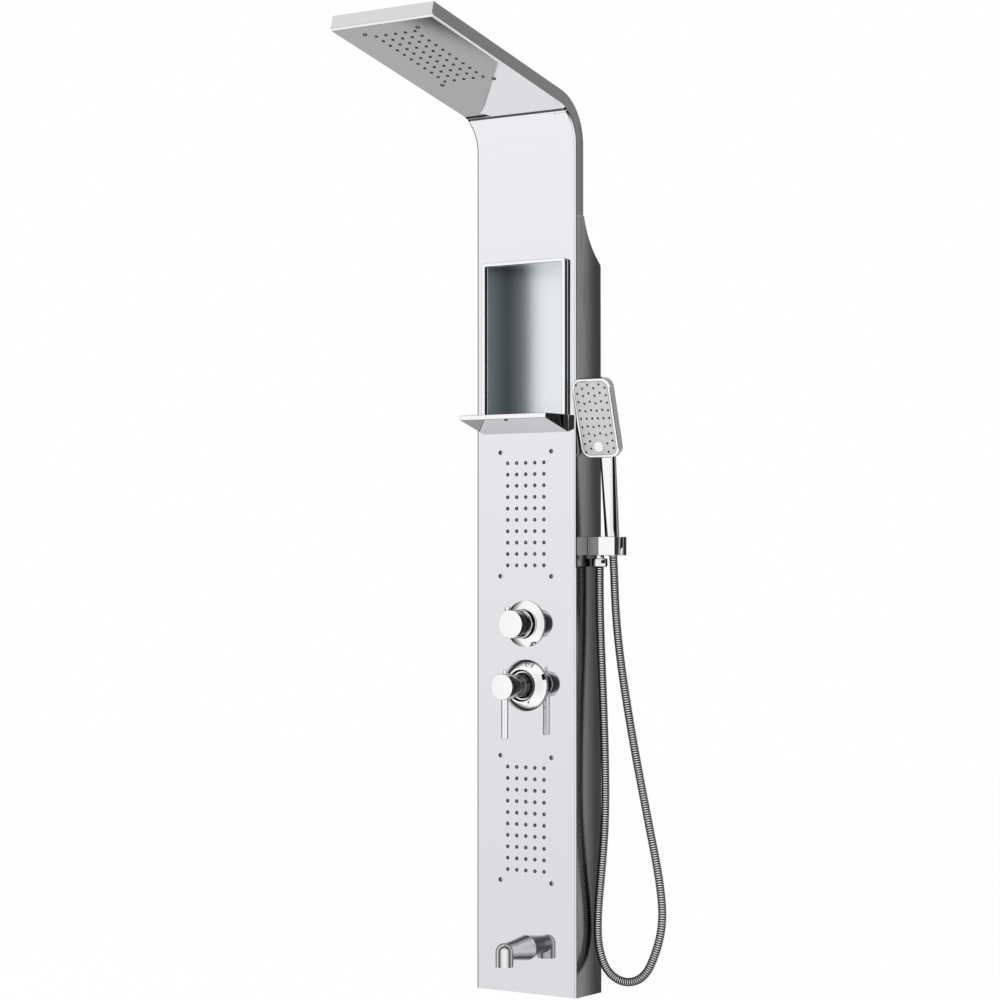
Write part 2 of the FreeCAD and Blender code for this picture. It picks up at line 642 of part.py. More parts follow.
# ------------------------------------------------------------------ niche
def niche_box():
    wall = s.sheet
    flange = s.niche_flange
    height = s.niche_height
    outer = slab(niche_width + 2 * wall, s.sheet, s.niche_depth, niche_floor - wall, height + 2 * wall)
    rim = slab(niche_width + 2 * flange, s.sheet, wall, niche_floor - flange, height + 2 * flange)
    inner = slab(niche_width, 0, s.niche_depth, niche_floor, height)
    node("niche_box", cut(fuse(outer, rim), inner))


def niche_frame():
    outer = slab(niche_width + 2 * s.rim_width, -s.rim_height, s.rim_height, niche_floor,
                 s.niche_height + s.rim_width)
    inner = slab(niche_width, -s.rim_height * 2, s.rim_height * 3, niche_floor - s.rim_height,
                 s.niche_height + s.rim_height)
    node("niche_frame", cut(outer, inner))


def niche_shelf():
    reach = s.shelf_reach
    drop = s.shelf_drop
    slope = (drop - s.shelf_lip) / reach
    wall = s.sheet
    outline = [(0, 0), (0, -drop), (-reach, -s.shelf_lip), (-reach, 0)]
    inside = [(0, -wall), (0, -drop + wall), (-reach + wall, -s.shelf_lip + wall - slope * wall),
              (-reach + wall, -wall)]
    outer = put(plate(outline, shelf_width), -shelf_width / 2, 0, niche_floor)
    inner = put(plate(inside, shelf_width - 2 * wall), wall - shelf_width / 2, 0, niche_floor)
    node("niche_shelf", cut(outer, inner))


# ------------------------------------------------------------------ diverter
def valve_nut(label, inner_radius, height):
    """A round nut on a valve's thread behind the front sheet, with two flats at its sides."""
    outer = inner_radius + s.locknut_height
    flat = inner_radius + s.locknut_flat
    ring = cut(rod(outer, s.locknut_height, 0, s.sheet, height, "y"),
               rod(inner_radius + s.thread_gap, s.locknut_height * 3, 0, -s.locknut_height, height, "y"))
    flats = slab(flat * 2, 0, s.locknut_height * 2, height - outer, outer * 2)
    trimmed = doc.addObject("Part::Common", "Trimmed")
    trimmed.Base = ring
    trimmed.Tool = flats
    node(label, trimmed)


def diverter():
    z = diverter_height
    body = rod(s.diverter_body_radius, s.valve_depth, 0, s.valve_front, z, "y")
    seat = rod(s.cartridge_radius + s.thread_gap, s.valve_depth - 2 * s.chamber_wall, 0,
               s.valve_front - s.chamber_wall, z, "y")
    routes = (head_route(), waterfall_route(), upper_jet_route(), lower_jet_route(), spout_route(),
              hand_route(), link_route())
    ports = [port(route) for route in routes]
    node("diverter_valve_body", cut(body, seat, *ports))

    front = s.diverter_collar_height - s.diverter_plate_height
    length = front + s.valve_front + s.valve_depth / 2
    housing = rod(s.cartridge_radius, length, 0, -front, z, "y")
    bore = rod(s.spindle_radius + s.thread_gap, length, 0, -front - s.chamber_wall, z, "y")
    node("diverter_cartridge", cut(housing, bore))
    valve_nut("diverter_locknut", s.cartridge_radius, z)

    plate_radius = s.diverter_plate_radius
    collar = s.diverter_collar_radius
    hole = s.cartridge_radius + s.fit_gap
    edge = s.sheet * 2
    plate_top, collar_top = s.diverter_plate_height, s.diverter_collar_height
    outline = [(hole, 0), (plate_radius, 0), (plate_radius, edge),
               (collar + edge, plate_top, s.diverter_plate_crown), (collar, plate_top),
               (collar, collar_top), (hole, collar_top)]
    node("diverter_escutcheon", put(turned(outline), 0, 0, z, "-y"))

    knob_back = s.diverter_knob_front - s.diverter_knob_length
    knob = rod(s.diverter_knob_radius, s.diverter_knob_length, 0, -knob_back, z, "-y")
    socket = rod(s.spindle_radius + s.thread_gap, s.knob_socket + s.sheet, 0, -knob_back + s.sheet, z, "-y")
    grub_y = -knob_back - s.screw_radius * 4
    radius = s.diverter_knob_radius
    grub_hole = rod(s.screw_radius + s.thread_gap, radius * 2, 0, grub_y, z, "-z")
    node("diverter_knob", cut(knob, socket, grub_hole))
    spindle_length = knob_back + s.knob_socket + s.valve_front
    node("diverter_spindle", rod(s.spindle_radius, spindle_length, 0, s.valve_front, z, "-y"))
    node("diverter_grub_screw", rod(s.screw_radius, radius - s.spindle_radius - s.sheet, 0, grub_y,
                                    z - s.spindle_radius - s.thread_gap, "-z"))

    turn = s.pointer_turn
    pointer = doc.addObject("Part::Cylinder", "Pointer")
    bind(pointer, "Radius", s.pointer_radius)
    bind(pointer, "Height", s.pointer_rise)
    pointer.Placement = FreeCAD.Placement(
        FreeCAD.Vector(), FreeCAD.Rotation(FreeCAD.Vector(0, -1, 0), float(turn)))
    bind(pointer, "Placement.Rotation.Angle", turn)
    stand = radius - s.pointer_radius * s.pointer_radius / (2 * radius)
    bind(pointer, "Placement.Base.x", -stand * sine(turn))
    bind(pointer, "Placement.Base.y", s.pointer_setback - s.diverter_knob_front)
    bind(pointer, "Placement.Base.z", z + stand * cosine(turn))
    trimmed = cut(pointer, rod(radius, s.diverter_knob_front * 2, 0, 0, z, "-y"))
    node("diverter_pointer", trimmed)


# ------------------------------------------------------------------ mixer
def mixer():
    z = mixer_height
    gap = s.thread_gap
    centre_y = s.valve_front + s.valve_depth / 2
    seat_radius = s.mixer_cartridge_radius + gap
    body = [rod(s.mixer_body_radius, s.valve_depth, 0, s.valve_front, z, "y"),
            rod(s.cross_radius, s.inlet_spacing + 2 * s.cross_radius, -s.inlet_spacing / 2 - s.cross_radius,
                centre_y, z, "x")]
    bores = [rod(seat_radius, s.valve_depth - 2 * s.chamber_wall, 0, s.valve_front - s.chamber_wall, z, "y")]
    for side in (-1, 1):
        x = side * s.inlet_spacing / 2
        drop = s.cross_radius + s.inlet_length
        body.append(rod(s.cross_radius, s.cross_radius, x, centre_y, z, "-z"))
        body.append(rod(s.inlet_radius, drop, x, centre_y, z, "-z"))
        bores.append(rod(s.inlet_bore, drop * 2, x, centre_y, z, "-z"))
    bores.append(port(link_route()))
    node("mixer_valve_body", cut(fuse(*body), *bores))

    housing_back = s.valve_front + s.valve_depth - 3 * s.chamber_wall
    front = mixer_recess_floor() - s.fit_gap
    node("mixer_cartridge", cut(
        rod(s.mixer_cartridge_radius, housing_back + front, 0, -front, z, "y"),
        rod(s.carrier_radius + gap, s.carrier_depth + s.fit_gap, 0, -front, z, "y")))
    valve_nut("mixer_locknut", s.mixer_cartridge_radius, z)


def mixer_recess_floor():
    """How far the floor of the dome's recess stands in front of the column."""
    return s.mixer_dome_height - s.mixer_recess_depth


def mixer_covers():
    """The domed plate with its ring-shaped recess, and the stepped shroud that stands in it."""
    z = mixer_height
    dome = s.mixer_dome_radius
    floor = mixer_recess_floor()
    hole = s.mixer_cartridge_radius + s.fit_gap
    edge = s.sheet * 2
    outline = [(hole, 0), (s.mixer_plate_radius, 0), (s.mixer_plate_radius, edge),
               (dome, s.mixer_dome_height, s.mixer_dome_crown), (dome - edge, s.mixer_dome_height),
               (s.shroud_radius + edge, floor), (hole, floor)]
    node("mixer_escutcheon", put(turned(outline), 0, 0, z, "-y"))

    wall = s.shroud_wall
    step = (s.shroud_tip + floor) / 2
    foot_bore = s.shroud_step_radius - wall
    tip_bore = s.shroud_tip_radius - wall
    outline = [(foot_bore, floor), (s.shroud_radius, floor), (s.shroud_radius, floor + wall),
               (s.shroud_step_radius, step - wall), (s.shroud_step_radius, step),
               (s.shroud_tip_radius, step + wall), (s.shroud_tip_radius, s.shroud_tip),
               (tip_bore, s.shroud_tip), (tip_bore, step), (foot_bore, step - wall)]
    node("mixer_shroud", put(turned(outline), 0, 0, z, "-y"))


def mixer_carrier():
    """It turns in the cartridge, and its nose holds the pin that the stem lifts about."""
    z = mixer_height
    back = mixer_recess_floor() - s.fit_gap - s.carrier_depth
    foot = rod(s.carrier_radius, s.carrier_depth, 0, -back, z, "-y")
    nose_front = s.mixer_pivot + s.carrier_nose_reach
    nose = rod(s.carrier_nose_radius, nose_front - back, 0, -back, z, "-y")
    swing = sine(s.mixer_swing) / cosine(s.mixer_swing)
    slot_half = s.carrier_nose_reach * swing + s.stem_radius / cosine(s.mixer_swing) + 2 * s.fit_gap
    slot_depth = s.carrier_nose_reach + s.pivot_pin_radius + s.stem_radius
    slot = slab(2 * (s.stem_radius + s.fit_gap), -nose_front - s.sheet, slot_depth + s.sheet,
                z - slot_half, 2 * slot_half)
    pin_hole = rod(s.pivot_pin_radius + s.thread_gap, 2 * s.carrier_radius, -s.carrier_radius,
                   -s.mixer_pivot, z, "x")
    node("mixer_carrier", cut(fuse(foot, nose), slot, pin_hole))


def mixer_controls():
    """The stem with its pin, the barrel, the lever and the index pin lift together."""
    z = mixer_height
    gap = s.thread_gap
    barrel = s.mixer_barrel_radius
    length = s.mixer_barrel_front - s.mixer_barrel_back
    lever_y = s.lever_setback - s.mixer_barrel_front
    socket_depth = length / 2
    stem_back = s.mixer_pivot - s.pivot_pin_radius - s.sheet
    pin_half = s.carrier_nose_radius - s.fit_gap
    node("mixer_stem", fuse(
        rod(s.stem_radius, s.mixer_barrel_back + socket_depth - stem_back, 0, -stem_back, z, "-y"),
        rod(s.pivot_pin_radius, 2 * pin_half, -pin_half, -s.mixer_pivot, z, "x")))
    socket = rod(s.stem_radius + gap, socket_depth + gap, 0, -s.mixer_barrel_back, z, "-y")
    lever_hole = rod(s.lever_radius + gap, barrel, 0, lever_y, z - s.lever_seat, "-z")
    pin_hole = rod(s.index_radius + gap, barrel, 0, lever_y, z + s.index_seat)
    grub_y = -s.mixer_barrel_back - s.screw_radius * 2
    grub_hole = rod(s.screw_radius + gap, barrel * 2, 0, grub_y, z, "-z")
    node("mixer_handle", cut(rod(barrel, length, 0, -s.mixer_barrel_back, z, "-y"),
                             socket, lever_hole, pin_hole, grub_hole))
    node("mixer_lever_rod", rod(s.lever_radius, s.lever_drop - s.lever_seat, 0, lever_y,
                                z - s.lever_seat, "-z"))
    node("mixer_index_pin", rod(s.index_radius, barrel - s.index_seat + s.index_rise, 0, lever_y,
                                z + s.index_seat))
    node("mixer_grub_screw", rod(s.screw_radius, barrel - s.stem_radius - s.sheet, 0, grub_y,
                                 z - s.stem_radius - gap, "-z"))


# ------------------------------------------------------------------ tub spout
def spout():
    z = s.spout_height
    gap = s.thread_gap
    mouth_foot = z - s.spout_mouth_drop
    neck = cone(s.spout_root_radius, s.spout_neck_radius, s.spout_reach, 0, 0, z, "-y")
    mouth = rod(s.spout_mouth_radius, s.spout_mouth_drop, 0, -s.spout_reach, mouth_foot)
    crown = ball(s.spout_mouth_radius, 0, -s.spout_reach, z)
    root_bore = rod(s.nipple_radius + gap, s.nipple_length / 2, 0, 0, z, "-y")
    channel = rod(s.pipe_radius + gap, s.spout_reach, 0, 0, z, "-y")
    mouth_bore = rod(s.aerator_radius + gap, s.aerator_height + s.sheet, 0, -s.spout_reach,
                     mouth_foot - s.sheet)
    drop = rod(s.pipe_radius + gap, s.spout_mouth_drop, 0, -s.spout_reach, mouth_foot)
    node("spout", cut(fuse(neck, mouth, crown), root_bore, channel, mouth_bore, drop))
    node("spout_aerator", cut(
        rod(s.aerator_radius, s.aerator_height, 0, -s.spout_reach, mouth_foot),
        rod(s.aerator_radius - 2 * s.sheet, s.aerator_height, 0, -s.spout_reach, mouth_foot - 2 * s.sheet)))
    node("spout_nipple", cut(
        rod(s.nipple_radius, s.nipple_length, 0, s.nipple_length / 2, z, "-y"),
        rod(s.pipe_radius + gap, s.nipple_length * 2, 0, s.nipple_length, z, "-y")))
    valve_nut("spout_locknut", s.nipple_radius, z)


# ------------------------------------------------------------------ holder and hose
def holder():
    half = s.panel_width / 2
    z = holder_foot
    block = box((half, s.holder_front, z), (s.holder_reach, s.holder_thickness, s.holder_rise))
    above = s.handle_bottom_radius
    widening = (s.cone_top_radius - s.cone_bottom_radius) / handle_foot * above
    socket = cone(s.cone_bottom_radius + s.fit_gap - widening, s.cone_top_radius + s.fit_gap + widening,
                  handle_foot + 2 * above, 0, 0, -above)
    slot = box((handset.x, handset.y - s.holder_slot / 2, z - s.sheet),
               (s.holder_reach, s.holder_slot, s.holder_rise + 2 * s.sheet))
    outlet_spot = (half + s.outlet_reach, outlet_depth_in, z)
    outlet_seat = rod(s.outlet_radius + s.thread_gap, s.holder_rise / 3, *outlet_spot)
    outlet_bore = rod(s.outlet_radius - 2 * s.sheet, s.holder_rise / 2 + s.pipe_radius, *outlet_spot)
    tail = rod(s.tail_radius, s.tail_length + s.sheet, half - s.tail_length, socket_depth_in,
               holder_height, "x")
    water_way = rod(s.pipe_radius + s.thread_gap, s.tail_length + s.outlet_reach,
                    half - s.tail_length - s.sheet, socket_depth_in, holder_height, "x")
    node("handset_holder", cut(fuse(block, tail), set_in(socket, handset), slot, outlet_seat, outlet_bore,
                               water_way))


def outlet():
    half = s.panel_width / 2
    gap = s.thread_gap
    x = half + s.outlet_reach
    nut = s.locknut_height
    node("holder_locknut", cut(
        rod(s.tail_radius + nut, nut, half - s.sheet - nut, socket_depth_in, holder_height, "x"),
        rod(s.tail_radius + gap, nut * 3, half - s.sheet - 2 * nut, socket_depth_in, holder_height, "x")))
    nipple = s.holder_rise / 3 + s.hose_nut_drop + s.hose_nut_height / 2
    top = holder_foot + s.holder_rise / 3
    node("hose_outlet_nipple", cut(
        rod(s.outlet_radius, nipple, x, outlet_depth_in, top, "-z"),
        rod(s.hose_bore, nipple * 2, x, outlet_depth_in, top, "-z")))
    nut_top = holder_foot - s.hose_nut_drop
    node("hose_nut", cut(
        rod(s.hose_nut_radius, s.hose_nut_height, x, outlet_depth_in, nut_top, "-z"),
        rod(s.outlet_radius + gap, s.hose_nut_height / 2 + gap, x, outlet_depth_in, nut_top, "-z"),
        rod(s.hose_bore, s.hose_nut_height * 2, x, outlet_depth_in, nut_top, "-z")))


def hose_route():
    """From the cone nut down, round and up to the outlet's nut."""
    foot = (handset.x, handset.y, handset.z)
    nut_foot = (s.panel_width / 2 + s.outlet_reach, outlet_depth_in,
                holder_foot - s.hose_nut_drop - s.hose_nut_height)

    def below(length):
        return (foot[0], foot[1] + length * sine(s.handset_lean), foot[2] - length * cosine(s.handset_lean))

    def away(origin, shares):
        return tuple(start + share * s.hose_fall for start, share in zip(origin, shares))

    return ([below(s.thread_gap), below(HOSE_LEAD * s.hose_fall)]
            + [away(foot, shares) for shares in HOSE_DOWN]
            + [away(nut_foot, shares) for shares in HOSE_UP] + [nut_foot])


def along_path(path, distance):
    """The point and the direction at a distance along a path's edges."""
    for edge in path.OrderedEdges:
        if distance <= edge.Length:
            spot = edge.getParameterByLength(distance)
            return edge.valueAt(spot), edge.tangentAt(spot)
        distance -= edge.Length
    return edge.valueAt(edge.LastParameter), edge.tangentAt(edge.LastParameter)


def ribbed_skin(path, crest, groove, ribs):
    """A solid with evenly spaced ribs along a path, plain for one diameter at both ends."""
    plain_end = 2 * crest
    pitch = (path.Length - 2 * plain_end) / ribs
    stations = [(0.0, groove)]
    for rib in range(ribs):
        foot = plain_end + rib * pitch
        stations += [(foot + pitch * share, radius)
                     for share, radius in zip(RIB_FLANKS, (groove, crest, crest, groove))]
    stations.append((path.Length, groove))
    steady = FreeCAD.Vector(0, 1, 0)
    rings = []
    for distance, radius in stations:
        point, direction = along_path(path, distance)
        circle = Part.Circle(point, direction, radius)
        circle.XAxis = steady - direction * steady.dot(direction)
        rings.append(Part.Wire(circle.toShape()))
    return Part.makeLoft(rings, True, True)


def shower_hose():
    route = hose_route()
    path, radii = tube_path(route)
    bore, length, _ = tube(route, s.hose_bore, None)
    skin = ribbed_skin(path, float(s.hose_radius), float(s.hose_radius - s.hose_groove),
                       round(float(s.hose_ribs)))
    shape = skin.cut(bore)
    print(f"hose {length:.1f} mm, tightest arc {min(radii):.0f} mm, volume {shape.Volume:.0f} mm3")
    node("shower_hose", made(shape, "Hose"))


# ------------------------------------------------------------------ hand shower
def rounded(width, depth, corner, z=0, y=0):
    """A rounded rectangle of lines and quarter arcs in a level plane."""
    half_x, half_y = width / 2, depth / 2
    edges = []
    for turn in range(4):
        span_x, span_y = (half_x, half_y) if turn % 2 == 0 else (half_y, half_x)
        start = FreeCAD.Vector(span_x, corner - span_y, 0)
        end = FreeCAD.Vector(span_x, span_y - corner, 0)
        inset = corner * (1 - math.sqrt(0.5))
        middle = FreeCAD.Vector(span_x - inset, span_y - inset, 0)
        tail = FreeCAD.Vector(span_x - corner, span_y, 0)
        for edge in (Part.LineSegment(start, end).toShape(), Part.Arc(end, middle, tail).toShape()):
            edge.rotate(FreeCAD.Vector(), FreeCAD.Vector(0, 0, 1), turn * 90)
            edges.append(edge)
    wire = Part.Wire(Part.__sortEdges__(edges))
    wire.translate(FreeCAD.Vector(0, y, z))
    return wire


def spray_block(width, length, corner, thickness, y):
    """A rounded slab in the spray face's frame, from y back by its thickness."""
    wire = rounded(float(width), float(length), float(corner))
    wire.rotate(FreeCAD.Vector(), FreeCAD.Vector(1, 0, 0), 90)
    wire.translate(vector(0, y, 0))
    return Part.Face(wire).extrude(vector(0, thickness, 0))


def handset_handle():
    """The handle swells from a round foot to a flat top, then tucks forward into the back of the head."""
    foot = float(handle_foot)
    neck = foot + float(s.handle_length)
    round_foot = 2 * float(s.handle_bottom_radius)
    width, depth = float(s.handle_top_width), float(s.handle_top_depth)
    tip_depth = float(s.handle_tip_depth)
    middle_width, middle_depth = (round_foot + width) / 2, (round_foot + depth) / 2
    sections = [rounded(round_foot, round_foot, round_foot / 2 - CORNER_EASE, foot),
                rounded(middle_width, middle_depth, middle_depth / 2 - CORNER_EASE, (foot + neck) / 2),
                rounded(width, depth, depth / 2 - CORNER_EASE, neck),
                rounded(width, tip_depth, tip_depth / 2 - CORNER_EASE, neck + float(s.handle_blend),
                        -float(s.handle_tuck))]
    return Part.makeLoft(sections, True, False)


def handset_body():
    """The chromed shell: handle and spray head in one, hollow behind the face."""
    width, length = s.face_width, s.face_length
    shell = spray_block(width, length, s.spray_corner, s.spray_thickness, 0)
    pocket = spray_block(width - 2 * s.bezel, length - 2 * s.bezel, s.spray_corner - s.bezel,
                         s.face_thickness + s.face_recess, 0)
    cavity = spray_block(width - 3 * s.bezel, length - 3 * s.bezel, s.spray_corner - 3 * s.bezel / 2,
                         s.spray_thickness - 2 * s.chamber_wall, s.chamber_wall)
    to_handset = FreeCAD.Placement(
        vector(0, -s.face_forward, s.face_up), FreeCAD.Rotation(FreeCAD.Vector(1, 0, 0), float(s.face_lean)))
    parts = [shape.transformGeometry(to_handset.toMatrix()) for shape in (shell, pocket, cavity)]
    water_way = Part.makeCylinder(float(s.hose_bore), float(s.handle_length),
                                  vector(0, 0, handle_foot - s.sheet))
    body = parts[0].fuse(handset_handle()).cut(parts[1]).cut(parts[2]).cut(water_way)
    node("handset_body", made(body, "HandsetShell"), handset)


def spray_tip_spots():
    """Places of the face's tips: rows and columns, every other column drawn in, and none at the button."""
    half_x = float(s.face_width / 2 - s.bezel * 2)
    half_z = float(s.face_length / 2 - s.bezel * 2)
    clear = float(s.button_radius + 4 * s.tip_radius)
    spots = []
    columns, rows = round(float(s.spray_columns)), round(float(s.spray_rows))
    for column in range(columns):
        reach = half_z - float(s.spray_stagger) * (column % 2)
        for row in range(rows):
            x = half_x * (2 * column / (columns - 1) - 1)
            z = reach * (2 * row / (rows - 1) - 1)
            if math.hypot(x, z + float(s.button_drop)) > clear:
                spots.append((x, z))
    return spots


def handset_face():
    margin = 2 * (s.bezel + s.thread_gap)
    face = spray_block(s.face_width - margin, s.face_length - margin, s.spray_corner - s.bezel,
                       s.face_thickness, s.face_recess)
    back = float(s.face_thickness + s.face_recess)

    def hole(radius, x, z):
        return Part.makeCylinder(float(radius), back * PIERCE, vector(x, -back, z), FreeCAD.Vector(0, 1, 0))

    holes = [hole(s.tip_radius + s.thread_gap, x, z) for x, z in spray_tip_spots()]
    holes.append(hole(s.button_radius + s.fit_gap, 0, -s.button_drop))
    node("handset_face", made(face.cut(Part.makeCompound(holes)), "Face"), spray)


def handset_nozzles():
    length = float(s.face_thickness + s.tip_rise)
    start = float(s.face_recess - s.tip_rise)
    tips = [Part.makeCone(float(s.tip_radius / 2), float(s.tip_radius), length, vector(x, start, z),
                          FreeCAD.Vector(0, 1, 0)) for x, z in spray_tip_spots()]
    node("handset_nozzles", made(Part.makeCompound(tips), "Tips"), spray)


def handset_button():
    front = s.face_recess - s.button_rise
    drop = s.button_drop
    flange_y = s.face_recess + s.face_thickness + s.fit_gap
    node("handset_button", fuse(
        rod(s.button_radius, s.button_length, 0, front, -drop, "y"),
        rod(s.button_radius + s.button_flange, s.button_flange, 0, flange_y, -drop, "y")), spray)
    start = front + s.button_length
    end = s.spray_thickness - s.chamber_wall
    radius = s.button_radius / 2
    wire = s.spring_wire
    bore = rod(radius - wire, (end - start) * 2, 0, start - wire, -drop, "y")
    node("handset_button_spring", cut(rod(radius, end - start, 0, start, -drop, "y"), bore), spray)


def handset_cone_nut():
    node("handset_cone_nut", cut(
        cone(s.cone_bottom_radius, s.cone_top_radius, handle_foot),
        rod(s.hose_bore, handle_foot * 2, 0, 0, -s.sheet)), handset)


# ------------------------------------------------------------------ water pipes
def valve_plane():
    """The depth of the middle of both valve bodies."""
    return s.valve_front + s.valve_depth / 2


def port(route):
    """What a pipe takes away from the body it is pushed into."""
    shape, _, _ = tube(route, s.pipe_radius + s.thread_gap, None, float(s.pipe_bend))
    return made(shape, "Port")


def duct_depth():
    """How deep the waterfall duct is behind the face."""
    return s.neck_depth / 2


def neck_pipe_plane():
    """The depth of a pipe midway between the waterfall duct and the back of the neck."""
    return (duct_depth() + s.neck_depth - s.sheet) / 2


def head_inlet_depth():
    """The depth of the pipe's seat in the rain head's chamber."""
    return chamber_back() - s.chamber_wall - s.pipe_radius


def in_head(x, y, depth):
    """A spot of the head's frame in the column's frame."""
    return (x, head.y + depth * sine(s.head_tilt) + y * cosine(s.head_tilt),
            head.z + depth * cosine(s.head_tilt) - y * sine(s.head_tilt))


def on_bend(x, depth, share):
    """A corner of a route round the bend, which turns it half as far as the whole bend."""
    radius = s.bend_radius + depth
    reach = radius / cosine(bend_sweep / 4)
    return (x, reach * cosine(bend_sweep * share) - s.bend_radius,
            bend_height + reach * sine(bend_sweep * share), radius)


def valve_mouth(height, seat_radius, side):
    """The height at which a pipe in a port beside the middle stops short of the valve's seat."""
    return height + side * (seat_radius - s.sheet)


def lane_route(side, neck_x):
    """From a port on the diverter up beside the niche and into the neck."""
    port_x = side * s.port_spacing / 2
    top = diverter_height + s.diverter_body_radius
    lane = side * side_lane
    niche_middle = niche_floor + s.niche_height / 2
    rise = side_lane + 2 * s.pipe_bend
    return [(port_x, valve_plane(), valve_mouth(diverter_height, s.cartridge_radius, 1)),
            (port_x, valve_plane(), top + s.pipe_bend),
            (lane, s.lane_plane, diverter_height + rise),
            (lane, s.lane_plane, niche_middle),
            (lane, neck_pipe_plane(), flare_height + s.neck_depth),
            (neck_x, neck_pipe_plane(), seam_height + s.pipe_bend)]


def head_route():
    x = -s.neck_lane
    depth = neck_pipe_plane()
    inlet_y = rain_size()[1] / 2 - s.rain_middle - 2 * s.chamber_wall
    return lane_route(-1, x) + [
        on_bend(x, depth, 1 / 4),
        on_bend(x, depth, 3 / 4),
        in_head(x, -s.pipe_bend * 2, depth),
        in_head(x, inlet_y + s.pipe_bend, head_inlet_depth()),
        in_head(x, inlet_y, head_inlet_depth())]


def waterfall_route():
    x = s.slot_lane
    depth = s.neck_depth / 4 + s.fit_gap
    reach = s.bend_radius + depth
    end = s.slot_rise - s.slot_opening / 2
    return lane_route(1, x) + [
        (x, depth, bend_height - s.pipe_bend * 2),
        (x, depth, bend_height + reach * (sine(end / 2) / cosine(end / 2))),
        (x, reach * cosine(end) - s.bend_radius, bend_height + reach * sine(end))]


def chamber_back():
    return s.sheet + s.mat_thickness + s.chamber_depth


def upper_jet_route():
    start = diverter_height + s.cartridge_radius + s.sheet
    return [(0, valve_plane(), start), (0, valve_plane(), upper_jets),
            (0, chamber_back() + s.sheet, upper_jets)]


def down_route(side, end_height, end_y):
    """From a port under the diverter, behind the mixer and down to a fitting on the middle line."""
    x = side * s.port_spacing / 2
    below = diverter_height - s.diverter_body_radius
    clear = s.mixer_body_radius + s.pipe_bend
    return [(x, valve_plane(), valve_mouth(diverter_height, s.cartridge_radius, -1)),
            (x, valve_plane(), below - s.pipe_radius * 2),
            (x, rear_plane, mixer_height + s.mixer_body_radius + s.pipe_radius * 2),
            (x, rear_plane, mixer_height - clear),
            (x, s.lower_plane, mixer_height - 2 * clear),
            (x, s.lower_plane, end_height + s.pipe_bend * 2),
            (0, s.lower_plane, end_height),
            (0, end_y, end_height)]


def lower_jet_route():
    return down_route(-1, lower_jets, chamber_back() + s.sheet)


def spout_route():
    return down_route(1, s.spout_height, s.nipple_length / 4)


def hand_route():
    x = s.panel_width / 2 - s.tail_length
    return [(s.cartridge_radius + s.sheet, valve_plane(), diverter_height),
            (x - s.pipe_bend, valve_plane(), diverter_height),
            (x - s.pipe_bend, socket_depth_in, holder_height),
            (x + s.spigot_length / 2, socket_depth_in, holder_height)]


def link_route():
    return [(0, valve_plane(), mixer_height + s.mixer_cartridge_radius + s.sheet),
            (0, valve_plane(), diverter_height - s.cartridge_radius - s.sheet)]


def pipes():
    for label, route in (("head_feed_pipe", head_route()), ("waterfall_pipe", waterfall_route()),
                         ("upper_jet_pipe", upper_jet_route()), ("lower_jet_pipe", lower_jet_route()),
                         ("spout_pipe", spout_route()), ("hand_outlet_pipe", hand_route()),
                         ("valve_link_pipe", link_route())):
        shape, _, _ = tube(route, s.pipe_radius, s.pipe_radius - s.pipe_wall, float(s.pipe_bend))
        node(label, made(shape, "Pipe"))


# ------------------------------------------------------------------ what holds the column on the wall
def wall_brackets():
    """Two plates for the wall; each has a shelf with a lip at its top edge, which the rails sit behind."""
    plates = []
    wall = s.panel_depth
    plate_y = wall - s.bracket_sheet
    lip_y = wall - s.hook_reach
    for height in (hang_height, hang_height - s.bracket_drop):
        top = height + s.bracket_rise / 2
        width = s.bracket_width
        parts = fuse(slab(width, plate_y, s.bracket_sheet, height - s.bracket_rise / 2, s.bracket_rise),
                     slab(width, lip_y, s.hook_reach, top - s.bracket_sheet, s.bracket_sheet),
                     slab(width, lip_y, s.bracket_sheet, top - s.bracket_sheet, s.hook_rise))
        holes = [rod(s.bracket_hole_radius, s.bracket_sheet * PIERCE, side * s.bracket_holes / 2,
                     plate_y - s.bracket_sheet, height, "y") for side in (-1, 1)]
        plates.append(cut(parts, *holes))
    node("wall_brackets", group(*plates))


def hanger_rails():
    """Two strips across the column, tabbed to its sides, that sit on the brackets' shelves."""
    rails = []
    width = s.panel_width - 2 * s.sheet
    rail_y = s.panel_depth - s.hook_reach + s.bracket_sheet + s.fit_gap
    for height in (hang_height, hang_height - s.bracket_drop):
        foot = height + s.bracket_rise / 2
        parts = [slab(width, rail_y, s.sheet, foot, s.rail_rise)]
        for x in (-width / 2, width / 2 - s.sheet):
            parts.append(box((x, rail_y - s.rail_tab, foot), (s.sheet, s.rail_tab, s.rail_rise)))
        rails.append(fuse(*parts))
    node("hanger_rails", group(*rails))


MAKERS = [front_panel, neck_cover, bottom_cap, head_plate, head_nozzle_mat, head_water_chamber, head_screws,
          waterfall_duct, niche_box, niche_frame, niche_shelf, diverter, mixer, mixer_covers,
          mixer_carrier, mixer_controls,
          spout, holder, outlet, shower_hose, handset_body, handset_face, handset_nozzles, handset_button,
          handset_cone_nut, pipes, wall_brackets, hanger_rails]
for maker in MAKERS:
    maker()
jet_field("upper", upper_jets)
jet_field("lower", lower_jets)

doc.recompute()
failed = [item.Label for item in doc.Objects if {"Invalid", "Error"} & set(item.State)]
assert not failed, f"objects that failed: {failed}"
for item in NODES:
    assert not item.Shape.isNull() and item.Shape.isValid(), f"bad shape: {item.Label}"
os.makedirs("parts", exist_ok=True)
for item in NODES:
    item.Shape.exportStep(f"parts/{item.Label}.step")
print(len(NODES), "nodes")
